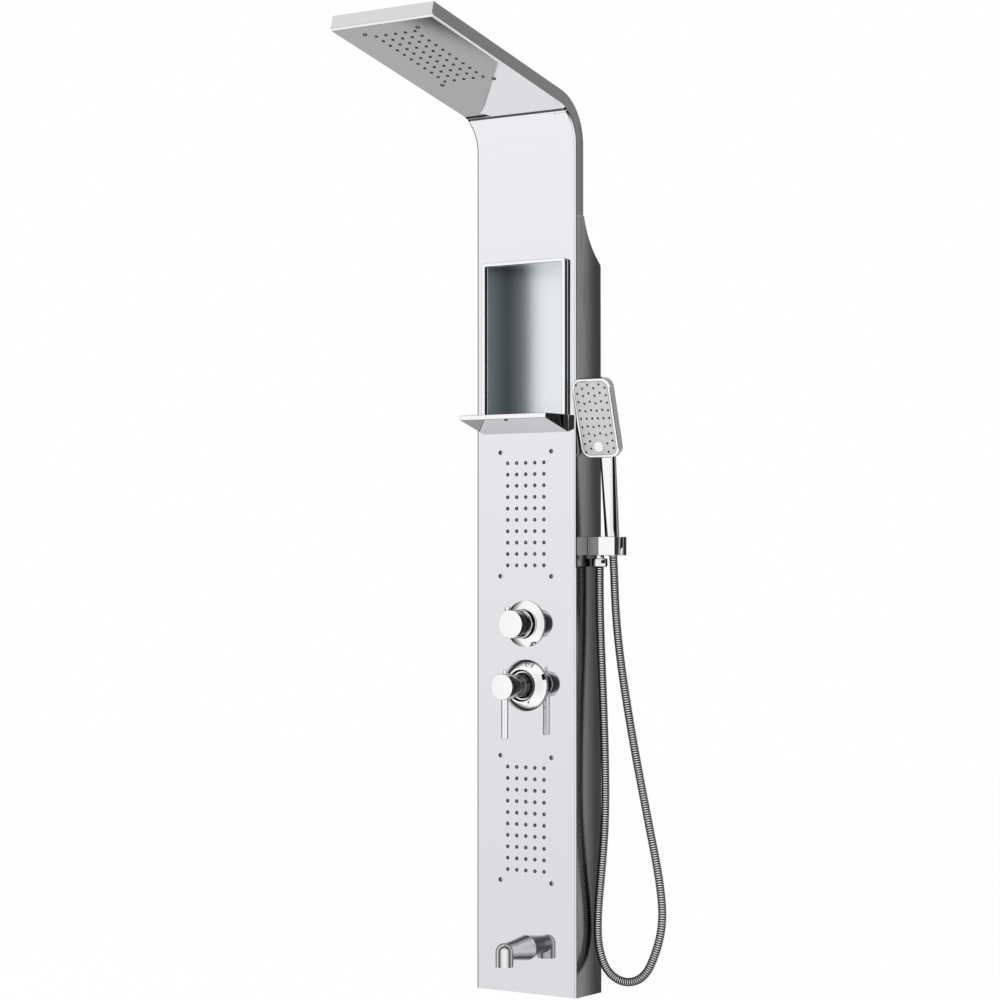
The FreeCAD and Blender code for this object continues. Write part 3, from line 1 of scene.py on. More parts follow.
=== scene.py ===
"""Dresses the shower panel column: folded sheets, niche, rain head, jets, controls, spout and hand shower.

Metres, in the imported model's frame: the wall is y = 0, the front looks along -Y and +Z is up. Turned outlines
and the lists called stations and section are in millimetres.
"""
import math

import bmesh
import bpy
from mathutils import Matrix, Vector


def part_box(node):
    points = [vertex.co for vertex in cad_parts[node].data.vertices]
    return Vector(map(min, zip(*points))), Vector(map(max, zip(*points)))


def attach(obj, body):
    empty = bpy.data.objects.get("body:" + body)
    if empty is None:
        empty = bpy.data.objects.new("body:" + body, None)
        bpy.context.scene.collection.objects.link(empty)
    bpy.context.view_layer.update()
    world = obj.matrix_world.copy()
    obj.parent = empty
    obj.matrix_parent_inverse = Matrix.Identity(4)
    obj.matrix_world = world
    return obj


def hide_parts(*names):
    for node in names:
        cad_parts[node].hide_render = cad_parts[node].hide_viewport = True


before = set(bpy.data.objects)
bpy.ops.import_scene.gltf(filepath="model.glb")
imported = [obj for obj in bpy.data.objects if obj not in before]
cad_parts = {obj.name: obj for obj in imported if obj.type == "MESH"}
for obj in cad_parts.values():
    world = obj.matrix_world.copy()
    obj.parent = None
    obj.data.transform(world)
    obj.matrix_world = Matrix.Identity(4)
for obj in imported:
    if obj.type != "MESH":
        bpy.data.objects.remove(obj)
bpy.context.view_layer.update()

bl_info = {
    "name": "Shower panel column",
    "version": (1, 0, 0),
    "blender": (4, 5, 0),
    "location": "3D View > Sidebar > Shower column",
    "description": "Builds the visible sheets, controls, hand shower and studio of a shower panel column",
    "category": "Object",
}

MM = 0.001
QUARTER = math.radians(90)
# The front sheet's face and the column's foot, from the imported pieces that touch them.
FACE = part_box("niche_frame")[1][1]
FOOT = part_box("bottom_cap")[0][2]

# The hose's corners from the cone nut down, round and up to the outlet's nut, as in the part's source.
HOSE_ROUTE = [
    (0.1380, -0.0240, -0.3895), (0.1380, -0.0212, -0.4185), (0.1396, -0.0206, -0.4690),
    (0.1464, -0.0226, -0.5320), (0.1605, -0.0244, -0.6150), (0.1815, -0.0258, -0.7170),
    (0.2065, -0.0267, -0.8250), (0.2295, -0.0275, -0.9220), (0.2365, -0.0278, -0.9880),
    (0.2235, -0.0281, -1.0400), (0.2008, -0.0283, -1.0840), (0.1630, -0.0286, -1.0972),
    (0.1267, -0.0288, -1.0805), (0.1098, -0.0290, -1.0360), (0.1105, -0.0293, -0.9800),
    (0.1180, -0.0297, -0.9150), (0.1260, -0.0302, -0.8300), (0.1263, -0.0308, -0.7400),
    (0.1232, -0.0314, -0.6400), (0.1185, -0.0321, -0.5350), (0.1170, -0.0330, -0.4650),
    (0.1170, -0.0330, -0.4090),
]
# The middle of the holder's socket across the column and behind the front face.
SOCKET_X, SOCKET_DEPTH = 0.138, 56 * MM


# ---- sizes and colours
def linear(code):
    """An sRGB hex value as linear red, green and blue."""
    channels = [int(code[at:at + 2], 16) / 255 for at in (1, 3, 5)]
    return [value / 12.92 if value <= 0.04045 else ((value + 0.055) / 1.055) ** 2.4 for value in channels]


def length(label, default):
    return bpy.props.FloatProperty(name=label, default=default, unit="LENGTH", precision=4)


def angle(label, degrees):
    return bpy.props.FloatProperty(name=label, default=math.radians(degrees), subtype="ANGLE")


def colour(label, code):
    return bpy.props.FloatVectorProperty(name=label, default=linear(code), subtype="COLOR", min=0, max=1)


class ColumnSizes(bpy.types.PropertyGroup):
    """Sizes of the column's sheets, niche and fields of tips."""
    width: length("Width of the column", 2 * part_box("front_panel")[1][0])
    depth: length("Depth below the flare", -FACE)
    neck_depth: length("Depth of the neck and the head", 26 * MM)
    sheet: length("Thickness of the sheet", 1.2 * MM)
    fold: length("Outer radius of the folds", 3 * MM)
    back_return: length("Width of the back returns", 15 * MM)
    flare_height: length("Start of the flare", 1217 * MM)
    flare_radius: length("Radius of the flare", 145 * MM)
    seam_height: length("Height of the neck's seam", 1297 * MM)
    seam_gap: length("Gap of the neck's seam", 0.4 * MM)
    bend_height: length("Start of the bend", 1415.5 * MM)
    bend_radius: length("Radius of the bend's front", 60 * MM)
    head_tilt: angle("Rise of the head above level", 13.2)
    head_length: length("Length of the head", 369 * MM)
    slot_rise: angle("Start of the slot on the bend", 57)
    slot_opening: angle("Opening of the slot on the bend", 6)
    niche_floor: length("Height of the niche's floor", 964.5 * MM)
    niche_width: length("Width of the niche", 156 * MM)
    niche_height: length("Height of the niche", 255 * MM)
    rim_width: length("Width of the niche's rim", 6 * MM)
    rim_corner: length("Radius of the rim's corners", 7 * MM)
    shelf_lip: length("Height of the shelf's front", 8 * MM)
    rain_middle: length("Rain field from the bend", 232 * MM)
    rain_pitch: length("Spacing of the rain tips", 19 * MM)
    jet_across: length("Spacing of the jets across", 18.3 * MM)
    jet_down: length("Spacing of the jets down", 19.1 * MM)
    upper_jets: length("Height of the upper jets", 799.8 * MM)
    lower_jets: length("Height of the lower jets", 290 * MM)


class ControlSizes(bpy.types.PropertyGroup):
    """Sizes of the diverter, the mixer and the spout."""
    diverter_height: length("Height of the diverter", 616 * MM)
    mixer_height: length("Height of the mixer", 513 * MM)
    knob_radius: length("Radius of the diverter's knob", 23.5 * MM)
    barrel_radius: length("Radius of the mixer's barrel", 21.5 * MM)
    lever_radius: length("Radius of the mixer's lever", 5.8 * MM)
    pointer_turn: angle("Turn of the pointer at rest", 22)
    edge: length("Radius of the polished edges", 1.1 * MM)
    spout_height: length("Height of the spout", 75.5 * MM)
    spout_reach: length("Reach of the spout's mouth", 63 * MM)


class HandShowerSizes(bpy.types.PropertyGroup):
    """Sizes of the hand shower, its holder and its hose."""
    lean: angle("Lean of the handle", 5.5)
    face_lean: angle("Lean of the face on the handle", 10.4)
    face_width: length("Width of the spray head", 75 * MM)
    face_length: length("Length of the spray head", 134 * MM)
    hose_radius: length("Outer radius of the hose", 7.2 * MM)
    hose_pitch: length("Spacing of the hose's ribs", 3.9 * MM)
    hose_groove: length("Depth between the hose's ribs", 1.0 * MM)


class FinishColours(bpy.types.PropertyGroup):
    """Colours of the finishes; the sheet's and the sides' pairs are painted reflections."""
    # Painted reflection: the polished sheet is lighter at the top than at the foot.
    sheet_reflection_top: colour("Polished sheet at the top", "#ecedf0")
    sheet_reflection_foot: colour("Polished sheet at the foot", "#d9dadd")
    # Painted reflection: the brushed sides are pale near the front and dark near the wall.
    side_reflection_front: colour("Brushed side near the front", "#8e8e8e")
    side_reflection_rear: colour("Brushed side near the wall", "#3c3c3c")
    niche: colour("Satin steel of the niche", "#eef3f5")
    tip: colour("Silicone of the jet tips", "#2e3032")
    spray_face: colour("Plastic of the spray face", "#c3c3c5")
    button: colour("Plastic of the button", "#ebebeb")


class StudioSettings(bpy.types.PropertyGroup):
    """The studio round the column."""
    floor_drop: length("Floor under the column's foot", 350 * MM)
    background: colour("Backdrop", "#ffffff")
    fill: bpy.props.FloatProperty(name="Light from all round", default=0.95, min=0)
    key_power: bpy.props.FloatProperty(name="Soft lamp", default=35, min=0, unit="POWER")


# ---- meshes
def mesh_of(name, points, faces):
    mesh = bpy.data.meshes.new(name)
    mesh.from_pydata([tuple(point) for point in points], [], faces)
    return mesh


def shown(obj):
    """Link an object to the scene."""
    bpy.context.scene.collection.objects.link(obj)
    return obj


def smoothed(mesh, sharp_degrees):
    """Shade smooth up to an angle."""
    mesh.polygons.foreach_set("use_smooth", [True] * len(mesh.polygons))
    mesh.set_sharp_from_angle(angle=math.radians(sharp_degrees))
    return mesh


def reworked(mesh, work, sharp_degrees):
    """Merge a mesh's doubles, do some more work on its faces and shade it smooth."""
    bm = bmesh.new()
    bm.from_mesh(mesh)
    bmesh.ops.remove_doubles(bm, verts=bm.verts, dist=1e-6)
    work(bm)
    bm.to_mesh(mesh)
    bm.free()
    return smoothed(mesh, sharp_degrees)


def tidied(mesh, sharp_degrees=32):
    """Drop empty faces and turn the rest outwards."""
    def work(bm):
        bmesh.ops.dissolve_degenerate(bm, edges=bm.edges, dist=1e-7)
        bmesh.ops.recalc_face_normals(bm, faces=bm.faces)
    return reworked(mesh, work, sharp_degrees)


def outward(mesh, centre_of):
    """Turn an open skin's faces away from a line of centres."""
    def work(bm):
        for face in bm.faces:
            face.normal_update()
            middle = face.calc_center_median()
            if face.normal.dot(middle - centre_of(middle)) < 0:
                face.normal_flip()
    return reworked(mesh, work, 40)


def joined(name, *meshes):
    """One mesh from several, which keeps their materials' order by face."""
    bm = bmesh.new()
    for mesh in meshes:
        bm.from_mesh(mesh)
    made = bpy.data.meshes.new(name)
    bm.to_mesh(made)
    bm.free()
    return smoothed(made, 50)


def second_finish(mesh):
    """Give every face of a mesh the second of its finishes."""
    mesh.polygons.foreach_set("material_index", [1] * len(mesh.polygons))
    return mesh


def shares(steps):
    """Even shares from nought to one."""
    return [step / steps for step in range(steps + 1)]


def eased(corners, radius, steps=3, closed=False):
    """An outline whose corners are rounded, as far as its runs allow."""
    points = []
    count = len(corners)
    for index, corner in enumerate(corners):
        here = Vector(corner)
        if not closed and index in (0, count - 1):
            points.append(here)
            continue
        before, after = Vector(corners[index - 1]) - here, Vector(corners[(index + 1) % count]) - here
        reach = min(radius, before.length * 0.45, after.length * 0.45)
        first, last = here + before.normalized() * reach, here + after.normalized() * reach
        for share in shares(steps):
            points.append((1 - share) ** 2 * first + 2 * share * (1 - share) * here + share ** 2 * last)
    return points


def arc_between(start, end, radius, steps=12):
    """Points of the arc between two points, with its centre on the left."""
    start, end = Vector(start), Vector(end)
    chord = end - start
    rise = math.sqrt(radius ** 2 - chord.length_squared / 4)
    centre = (start + end) / 2 + Vector((-chord.y, chord.x)).normalized() * rise
    sweep = (end - centre).angle_signed(start - centre)
    return [centre + Matrix.Rotation(sweep * step / steps, 2) @ (start - centre) for step in range(1, steps)]


def lathe(outline, steps):
    """A closed outline of (radius, height) corners in millimetres turned about Z."""
    points, faces = [], []
    count = len(outline)
    for step in range(steps):
        turn = 2 * math.pi * step / steps
        points += [(radius * MM * math.cos(turn), radius * MM * math.sin(turn), height * MM)
                   for radius, height in outline]
        here, after = step * count, (step + 1) % steps * count
        faces += [(here + index, after + index, after + (index + 1) % count, here + (index + 1) % count)
                  for index in range(count)]
    return points, faces


def turned(name, outline, place, steps=96, sharp_degrees=32):
    """A turned mesh with its axis along a place's Z."""
    mesh = mesh_of(name, *lathe(outline, steps))
    mesh.transform(place)
    return tidied(mesh, sharp_degrees)


def stacked(name, rings, place):
    """Closed rings of equal count joined one after another and capped at both ends."""
    count = len(rings[0])
    points = [point for ring in rings for point in ring]
    faces = [tuple(reversed(range(count))), tuple(range(len(points) - count, len(points)))]
    for base in range(0, len(points) - count, count):
        faces += [(base + index, base + (index + 1) % count, base + count + (index + 1) % count,
                   base + count + index) for index in range(count)]
    mesh = mesh_of(name, points, faces)
    mesh.transform(place)
    return tidied(mesh)


def prism(name, outline, low, high, place):
    """An outline extruded along a place's Z."""
    return stacked(name, [[(x, y, z) for x, y in outline] for z in (low, high)], place)


def rounded_ring(width, height, corner, steps=8):
    """A rounded rectangle about the origin, counter-clockwise."""
    ring = []
    for turn, (across, up) in enumerate(((1, -1), (1, 1), (-1, 1), (-1, -1))):
        centre = Vector((across * (width / 2 - corner), up * (height / 2 - corner)))
        for share in shares(steps):
            at = QUARTER * (turn - 1 + share)
            ring.append(centre + corner * Vector((math.cos(at), math.sin(at))))
    return ring


def swept(profile, spots):
    """A strip: a profile of (x, depth) points carried along spots of (y, z, back_y, back_z)."""
    points = [(x, y + depth * back_y, z + depth * back_z) for y, z, back_y, back_z in spots
              for x, depth in profile]
    count = len(profile)
    faces = [(at, at + 1, at + count + 1, at + count) for row in range(len(spots) - 1)
             for at in range(row * count, (row + 1) * count - 1)]
    return points, faces


def front_place(x, height):
    """A place on the front face whose Z points out along -Y and whose Y points up."""
    return Matrix.Translation((x, FACE, FOOT + height)) @ Matrix.Rotation(QUARTER, 4, "X")


def up_place(x, depth, height):
    """An upright place at a depth behind the front face."""
    return Matrix.Translation((x, FACE + depth, FOOT + height))


def box_place(low, high):
    """An upright place in the middle of a box's underside."""
    return Matrix.Translation(((low[0] + high[0]) / 2, (low[1] + high[1]) / 2, low[2]))


def piece(name, mesh, body, node, slot, *finishes):
    """Show a mesh in place of a CAD node."""
    obj = shown(bpy.data.objects.new(name, mesh))
    if not mesh.materials:
        for finish in finishes:
            mesh.materials.append(FINISHES[finish])
    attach(obj, body)
    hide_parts(node)
    return obj


def flattened(obj, keep_sharp):
    """Keep the light on a piece's flat faces even."""
    obj.modifiers.new("Flat faces", "WEIGHTED_NORMAL").keep_sharp = keep_sharp


def softened(obj, width, segments=2):
    """Round a piece's sharp edges."""
    bevel = obj.modifiers.new("Edges", "BEVEL")
    bevel.width = width
    bevel.segments = segments
    bevel.limit_method = "ANGLE"
    bevel.angle_limit = math.radians(32)
    bevel.harden_normals = False
    flattened(obj, False)


def thickened(obj, sheet):
    """Give a skin its sheet's thickness, inwards."""
    wall = obj.modifiers.new("Sheet", "SOLIDIFY")
    wall.thickness = sheet
    wall.offset = -1
    flattened(obj, True)


# ---- nodes
def add(tree, kind, values=None, **settings):
    """Add a node with its settings; a value that is a socket is linked."""
    made = tree.nodes.new(kind)
    for name, value in settings.items():
        setattr(made, name, value)
    for name, value in (values or {}).items():
        if isinstance(value, bpy.types.NodeSocket):
            tree.links.new(value, made.inputs[name])
        else:
            made.inputs[name].default_value = value
    return made


def maths(tree, operation, *values):
    return add(tree, "ShaderNodeMath", dict(enumerate(values)), operation=operation).outputs[0]


def ranged(tree, value, low=0.0, high=1.0, to_low=0.0, to_high=1.0, **settings):
    """A value mapped from one range to another."""
    ends = {"Value": value, "From Min": low, "From Max": high, "To Min": to_low, "To Max": to_high}
    return add(tree, "ShaderNodeMapRange", ends, **settings).outputs["Result"]


def mixed(tree, share, first, second, blend="MIX"):
    return add(tree, "ShaderNodeMix", {"Factor": share, "A": first, "B": second}, data_type="RGBA",
               blend_type=blend).outputs["Result"]


def noise(tree, place, size, detail, **values):
    """Noise with lumps of a size."""
    return add(tree, "ShaderNodeTexNoise",
               {"Vector": place, "Scale": 1 / size, "Detail": detail, **values}).outputs["Fac"]


def axis_of(tree, place, axis):
    return add(tree, "ShaderNodeSeparateXYZ", {"Vector": place}).outputs[axis]


def facing(tree):
    return add(tree, "ShaderNodeLayerWeight", {"Blend": 0.5}).outputs["Facing"]


# ---- materials
def bare_material(name):
    """A material with an empty tree."""
    material = bpy.data.materials.new(name)
    material.use_nodes = True
    material.node_tree.nodes.clear()
    return material


def finish(name, look, metallic=1):
    """A finish; look(tree, place) gives its tone, its gloss and its bumps' height, strength and step."""
    material = bare_material(name)
    tree = material.node_tree
    place = add(tree, "ShaderNodeTexCoord").outputs["Object"]
    tone, gloss, height, strength, step = look(tree, place)
    bump = add(tree, "ShaderNodeBump", {"Height": height, "Strength": strength, "Distance": step})
    shader = add(tree, "ShaderNodeBsdfPrincipled", {
        "Base Color": tone, "Roughness": gloss, "Metallic": metallic, "Normal": bump.outputs["Normal"]})
    add(tree, "ShaderNodeOutputMaterial", {"Surface": shader.outputs["BSDF"]})
    return material


def shaded(tree, tone, grain, spread):
    """A tone that is darker in the grain's hollows."""
    return mixed(tree, 1.0, tone, ranged(tree, grain, 0.3, 0.7, 1 - spread, 1), "MULTIPLY")


def polished_sheet():
    """Stainless 304 sheet with a mirror polish: sharp reflections that waver where the sheet was rolled, and
    painted reflections in its tone.
    """
    sizes, colours = bpy.context.scene.column_sizes, bpy.context.scene.finish_colours

    def look(tree, place):
        # Painted reflection: the tone is lighter towards the top and darker towards the foot.
        tone = mixed(tree, ranged(tree, axis_of(tree, place, "Z"), FOOT, 0.3), (*colours.sheet_reflection_foot, 1),
                     (*colours.sheet_reflection_top, 1))
        # Painted reflection: where the long folds turn away from the eye their tone is painted near black, as
        # if they mirrored a dark room beside the studio.
        half = sizes.width / 2
        on_fold = ranged(tree, maths(tree, "ABSOLUTE", axis_of(tree, place, "X")), half - sizes.fold * 1.2,
                         half - sizes.fold * 0.9)
        away = ranged(tree, facing(tree), 0.1, 0.16)
        tone = mixed(tree, maths(tree, "MULTIPLY", on_fold, away), tone, (0.02, 0.02, 0.02, 1))
        # A rolled sheet's waves are about 60 mm long; the polish leaves marks of 2 mm.
        marks, waves = noise(tree, place, 2 * MM, 2), noise(tree, place, 60 * MM, 1)
        return tone, ranged(tree, marks, to_low=0.03, to_high=0.07), waves, 0.02, 1 * MM
    return finish("polished_304_sheet", look)


def brushed_metal(name, front, rear, near, far, axis, grain, rough, spread):
    """Steel that was brushed along its length: fine streaks, and a tone that changes along one axis, which
    paints the reflections and shade given by each finish's two tones.
    """
    def look(tree, place):
        share = ranged(tree, axis_of(tree, place, axis), near, far, interpolation_type="SMOOTHSTEP")
        # Streaks run forty times as long as they are wide; real grain is too fine to show, so it is wider.
        lay = add(tree, "ShaderNodeMapping", {"Vector": place, "Scale": (1, 1, 1 / 40)}).outputs["Vector"]
        streaks = noise(tree, lay, grain, 3, Roughness=0.6)
        tone = shaded(tree, mixed(tree, share, (*front, 1), (*rear, 1)), streaks, spread)
        return tone, ranged(tree, streaks, to_low=rough * 0.7, to_high=rough * 1.3), streaks, 0.05, 0.2 * MM
    return finish(name, look)


def grained(name, base, metallic, rough, grit, relief, spread=0.06):
    """A finish with an even grain, such as moulded plastic, silicone, zinc or a casting."""
    def look(tree, place):
        grain = noise(tree, place, grit, 3)
        gloss = ranged(tree, grain, to_low=rough * 0.8, to_high=rough * 1.2)
        return shaded(tree, (*base, 1), grain, spread), gloss, grain, relief, 0.2 * MM
    return finish(name, look, metallic)


def plated(name, bands, rough, groove=False):
    """Bright plate with painted reflections of a white room's black flags, in bands of (facing, tone).

    Where a mesh has grooves they are painted dark: painted shade of the ribs beside them.
    """
    def look(tree, place):
        # Painted reflection: the base colour follows the facing through the bands of tone.
        ramp = add(tree, "ShaderNodeValToRGB", {"Fac": facing(tree)})
        ramp.color_ramp.interpolation = "EASE"
        for index, (at, tone) in enumerate(bands):
            stop = ramp.color_ramp.elements[index] if index < 2 else ramp.color_ramp.elements.new(at)
            stop.position = at
            stop.color = (tone, tone * 1.005, tone * 1.01, 1)
        tone = ramp.outputs["Color"]
        # Painted shade: the grooves' tone is darkened almost to black.
        if groove:
            depth = add(tree, "ShaderNodeAttribute", attribute_name="groove").outputs["Fac"]
            tone = mixed(tree, 1.0, tone, ranged(tree, depth, 0.0, 0.5, 1.0, 0.03), "MULTIPLY")
        # Plate lies a little uneven over its base, at about 3 mm.
        grain = noise(tree, place, 3 * MM, 2)
        return tone, ranged(tree, grain, to_low=rough * 0.7, to_high=rough * 1.3), grain, 0.01, 0.2 * MM
    return finish(name, look)


FINISHES = {}


def make_finishes():
    """Make every finish of the object, by its name."""
    colours = bpy.context.scene.finish_colours
    neck_depth = bpy.context.scene.column_sizes.neck_depth
    FINISHES.update({
        "sheet": polished_sheet(),
        # The folded sides were brushed along the column with a coarse belt, the neck's with a finer one. The
        # sides' tone is a painted reflection, pale near the front and dark near the wall.
        "side": brushed_metal("brushed_304_sides_painted_reflection", colours.side_reflection_front[:], colours.side_reflection_rear[:],
                              FACE + 10 * MM, -15 * MM, "Y", 2.5 * MM, 0.16, 0.35),
        # Painted light and shade: the neck's sides take a dark copy of its brushed steel, and its back, top and
        # end a pale copy of the same steel.
        "neck_side": brushed_metal("brushed_304_neck_painted_shade", linear("#808080"), linear("#6f6f6f"), FACE,
                                   FACE + neck_depth, "Y", 1.2 * MM, 0.16, 0.06),
        "neck_end": brushed_metal("brushed_304_neck_painted_light", linear("#d9dadb"), linear("#c4c5c6"), -0.47, 0, "Y",
                                  0.8 * MM, 0.2, 0.03),
        # The head's underside has a finer belt finish, close to a mirror.
        "underside": brushed_metal("brushed_304_head", linear("#f2f2f3"), linear("#ececed"), -0.5, -0.1, "Y",
                                   1.2 * MM, 0.08, 0.04),
        # The niche is satin steel, which blurs what it mirrors. Painted shade: its tone darkens towards the
        # left wall.
        "niche": brushed_metal("satin_304_niche_painted_shade", linear("#858c90"), colours.niche[:], -0.088, 0.005, "X",
                               1.5 * MM, 0.3, 0.06),
        # Bright chrome on brass and on plastic: a clear mirror with hardly any haze. Its tones are painted
        # reflections of the black flags.
        "chrome": plated("polished_chrome_plate", (
            (0.0, 0.8), (0.1, 0.94), (0.23, 0.9), (0.33, 0.3), (0.4, 0.012), (0.54, 0.02), (0.62, 0.35),
            (0.69, 0.7), (0.78, 0.1), (0.9, 0.03), (1.0, 0.2)), 0.04),
        # The shower head's shell is satin chrome on plastic; its tones are painted reflections, softer on its
        # sides.
        "shell": plated("satin_chrome_on_abs", (
            (0.0, 0.96), (0.24, 0.9), (0.36, 0.5), (0.5, 0.3), (0.62, 0.4), (0.75, 0.5), (0.9, 0.15),
            (1.0, 0.1)), 0.12),
        # The mixer's sleeve stands in the plate's recess; its dark tones are painted shade and painted
        # reflections.
        "sleeve": plated("chrome_painted_recess_shade", (
            (0.0, 0.13), (0.2, 0.1), (0.35, 0.06), (0.5, 0.3), (0.62, 0.08), (0.8, 0.02), (1.0, 0.05)), 0.06),
        # The spout's round body takes painted reflections of the whole room in narrow bands.
        "spout": plated("polished_chrome_casting", (
            (0.0, 0.85), (0.06, 0.65), (0.15, 0.08), (0.24, 0.2), (0.36, 0.75), (0.47, 0.35), (0.57, 0.02),
            (0.7, 0.04), (0.82, 0.35), (1.0, 0.03)), 0.06),
        # The hose is a stainless spiral; its bright crests are painted reflections and its dark grooves painted
        # shade.
        "hose": plated("stainless_spiral_hose", (
            (0.0, 0.95), (0.1, 0.55), (0.28, 0.2), (0.42, 0.05), (0.6, 0.2), (0.8, 0.03), (1.0, 0.03)),
                       0.12, groove=True),
        # The screws' tones are painted reflections.
        "screw": plated("stainless_screws", (
            (0.0, 0.45), (0.1, 0.2), (0.18, 0.06), (0.45, 0.01), (0.6, 0.1), (0.8, 0.02), (1.0, 0.02)), 0.2),
        # Silicone tips are matt and a little dusty.
        "tip": grained("silicone_tips", colours.tip[:], 0, 0.5, 0.6 * MM, 0.2, 0.2),
        "spray_face": grained("moulded_abs_face", colours.spray_face[:], 0, 0.32, 0.5 * MM, 0.04),
        "button": grained("moulded_abs_button", colours.button[:], 0, 0.25, 0.5 * MM, 0.03),
        "plastic": grained("moulded_grey_abs", linear("#8b8e90"), 0, 0.45, 0.7 * MM, 0.1),
        "brass": grained("cast_brass", linear("#c4a566"), 1, 0.35, 1.2 * MM, 0.3, 0.15),
        "pipe": brushed_metal("drawn_steel_pipes", linear("#c4c7c9"), linear("#c4c7c9"), 0, 1, "Y", 1 * MM,
                              0.25, 0.1),
        # Zinc plate has soft spangles about 6 mm across.
        "zinc": grained("zinc_plated_brackets", linear("#a9adb0"), 1, 0.38, 6 * MM, 0.1, 0.18),
    })


# ---- geometry trees
def node_group(name, sockets):
    """A geometry tree with named inputs."""
    tree = bpy.data.node_groups.new(name, "GeometryNodeTree")
    for label, kind in sockets.items():
        tree.interface.new_socket(label, in_out="INPUT", socket_type="NodeSocket" + kind)
    tree.interface.new_socket("Geometry", in_out="OUTPUT", socket_type="NodeSocketGeometry")
    return tree, add(tree, "NodeGroupInput").outputs


def ended(tree, given, geometry):
    """Join a tree's result and give it its finish."""
    whole = add(tree, "GeometryNodeRealizeInstances", {"Geometry": geometry})
    dressed = add(tree, "GeometryNodeSetMaterial", {"Geometry": whole.outputs["Geometry"],
                                                    "Material": given["Finish"]})
    add(tree, "NodeGroupOutput", {"Geometry": dressed.outputs["Geometry"]})
    return tree


def copied(tree, given, spots):
    """End a tree with copies of its part on spots."""
    part = add(tree, "GeometryNodeObjectInfo", {"Object": given["Part"]}).outputs["Geometry"]
    copies = add(tree, "GeometryNodeInstanceOnPoints", {"Points": spots, "Instance": part})
    return ended(tree, given, copies.outputs["Instances"])


def field_tree():
    """Copies of a part on a grid of columns and rows."""
    tree, given = node_group("Field", {"Part": "Object", "Columns": "Int", "Rows": "Int", "Across": "Float",
                                       "Up": "Float", "Finish": "Material"})
    wide, tall = (maths(tree, "MULTIPLY", maths(tree, "SUBTRACT", given[count], 1.0), given[pitch])
                  for count, pitch in (("Columns", "Across"), ("Rows", "Up")))
    spots = add(tree, "GeometryNodeMeshGrid", {"Size X": wide, "Size Y": tall, "Vertices X": given["Columns"],
                                               "Vertices Y": given["Rows"]})
    return copied(tree, given, spots.outputs["Mesh"])


def spots_tree():
    """Copies of a part on each point of the object."""
    tree, given = node_group("Spots", {"Geometry": "Geometry", "Part": "Object", "Finish": "Material"})
    return copied(tree, given, given["Geometry"])


def hose_tree():
    """A ribbed tube along a curve: its radius dips between evenly spaced ribs."""
    tree, given = node_group("Ribbed hose", {"Geometry": "Geometry", "Radius": "Float", "Pitch": "Float",
                                             "Groove": "Float", "Sides": "Int", "Finish": "Material"})
    # Six steps to a rib follow its wave.
    reach = maths(tree, "DIVIDE", given["Pitch"], 6.0)
    fine = add(tree, "GeometryNodeResampleCurve", {"Curve": given["Geometry"], "Length": reach},
               mode="LENGTH")
    along = add(tree, "GeometryNodeSplineParameter").outputs["Length"]
    phase = maths(tree, "MULTIPLY", maths(tree, "DIVIDE", along, given["Pitch"]), 2 * math.pi)
    dip = ranged(tree, maths(tree, "COSINE", phase), -0.4, 1.0, interpolation_type="SMOOTHSTEP")
    radius = maths(tree, "SUBTRACT", given["Radius"], maths(tree, "MULTIPLY", dip, given["Groove"]))
    marked = add(tree, "GeometryNodeStoreNamedAttribute",
                 {"Geometry": fine.outputs["Curve"], "Name": "groove", "Value": dip},
                 data_type="FLOAT", domain="POINT")
    ring = add(tree, "GeometryNodeCurvePrimitiveCircle", {"Radius": 1.0, "Resolution": given["Sides"]})
    tube = add(tree, "GeometryNodeCurveToMesh",
               {"Curve": marked.outputs["Geometry"], "Scale": radius, "Profile Curve": ring.outputs["Curve"],
                "Fill Caps": True})
    smooth = add(tree, "GeometryNodeSetShadeSmooth", {"Geometry": tube.outputs["Mesh"]})
    return ended(tree, given, smooth.outputs["Geometry"])


def grown(name, data, tree=None, values=None):
    """The plain mesh of an object's data, and of what a node tree makes of it."""
    obj = shown(bpy.data.objects.new(name, data))
    if tree:
        modifier = obj.modifiers.new("Nodes", "NODES")
        modifier.node_group = tree
        for item in tree.interface.items_tree:
            if item.in_out == "INPUT" and item.name in values:
                modifier[item.identifier] = values[item.name]
    mesh = bpy.data.meshes.new_from_object(obj.evaluated_get(bpy.context.evaluated_depsgraph_get()))
    bpy.data.objects.remove(obj)
    mesh.name = name
    return mesh


def stock_part(name, outline, steps):
    """A small turned part that a node tree copies."""
    obj = shown(bpy.data.objects.new(name, tidied(mesh_of(name, *lathe(outline, steps)), 40)))
    obj.hide_render = True
    return obj


# ---- the column's sheets
def fold_arc(x, depth, side, fold, steps=6, back=False):
    """Points round a long fold at a front or back corner, from the front or back face to the side."""
    points = []
    for turn in (QUARTER * share for share in shares(steps)):
        deep = fold * (1 - math.cos(turn))
        points.append((side * (x - fold * (1 - math.sin(turn))), depth - deep if back else depth + deep))
    return points


def front_folds(sizes):
    """The left fold, from the side to the front face, and the right one back again."""
    left, right = (fold_arc(sizes.width / 2, 0, side, sizes.fold) for side in (-1, 1))
    return left[::-1], right


def upright(heights):
    """Spots of the front face at heights."""
    return [(FACE, FOOT + height, 1.0, 0.0) for height in heights]


def bend_spots(sizes, first, last, steps=20):
    """Spots of the front face round the bend between two angles."""
    spots = []
    for turn in (first + (last - first) * share for share in shares(steps)):
        spots.append((FACE - sizes.bend_radius * (1 - math.cos(turn)),
                      FOOT + sizes.bend_height + sizes.bend_radius * math.sin(turn),
                      math.cos(turn), math.sin(turn)))
    return spots


def head_turn(sizes):
    return QUARTER - sizes.head_tilt


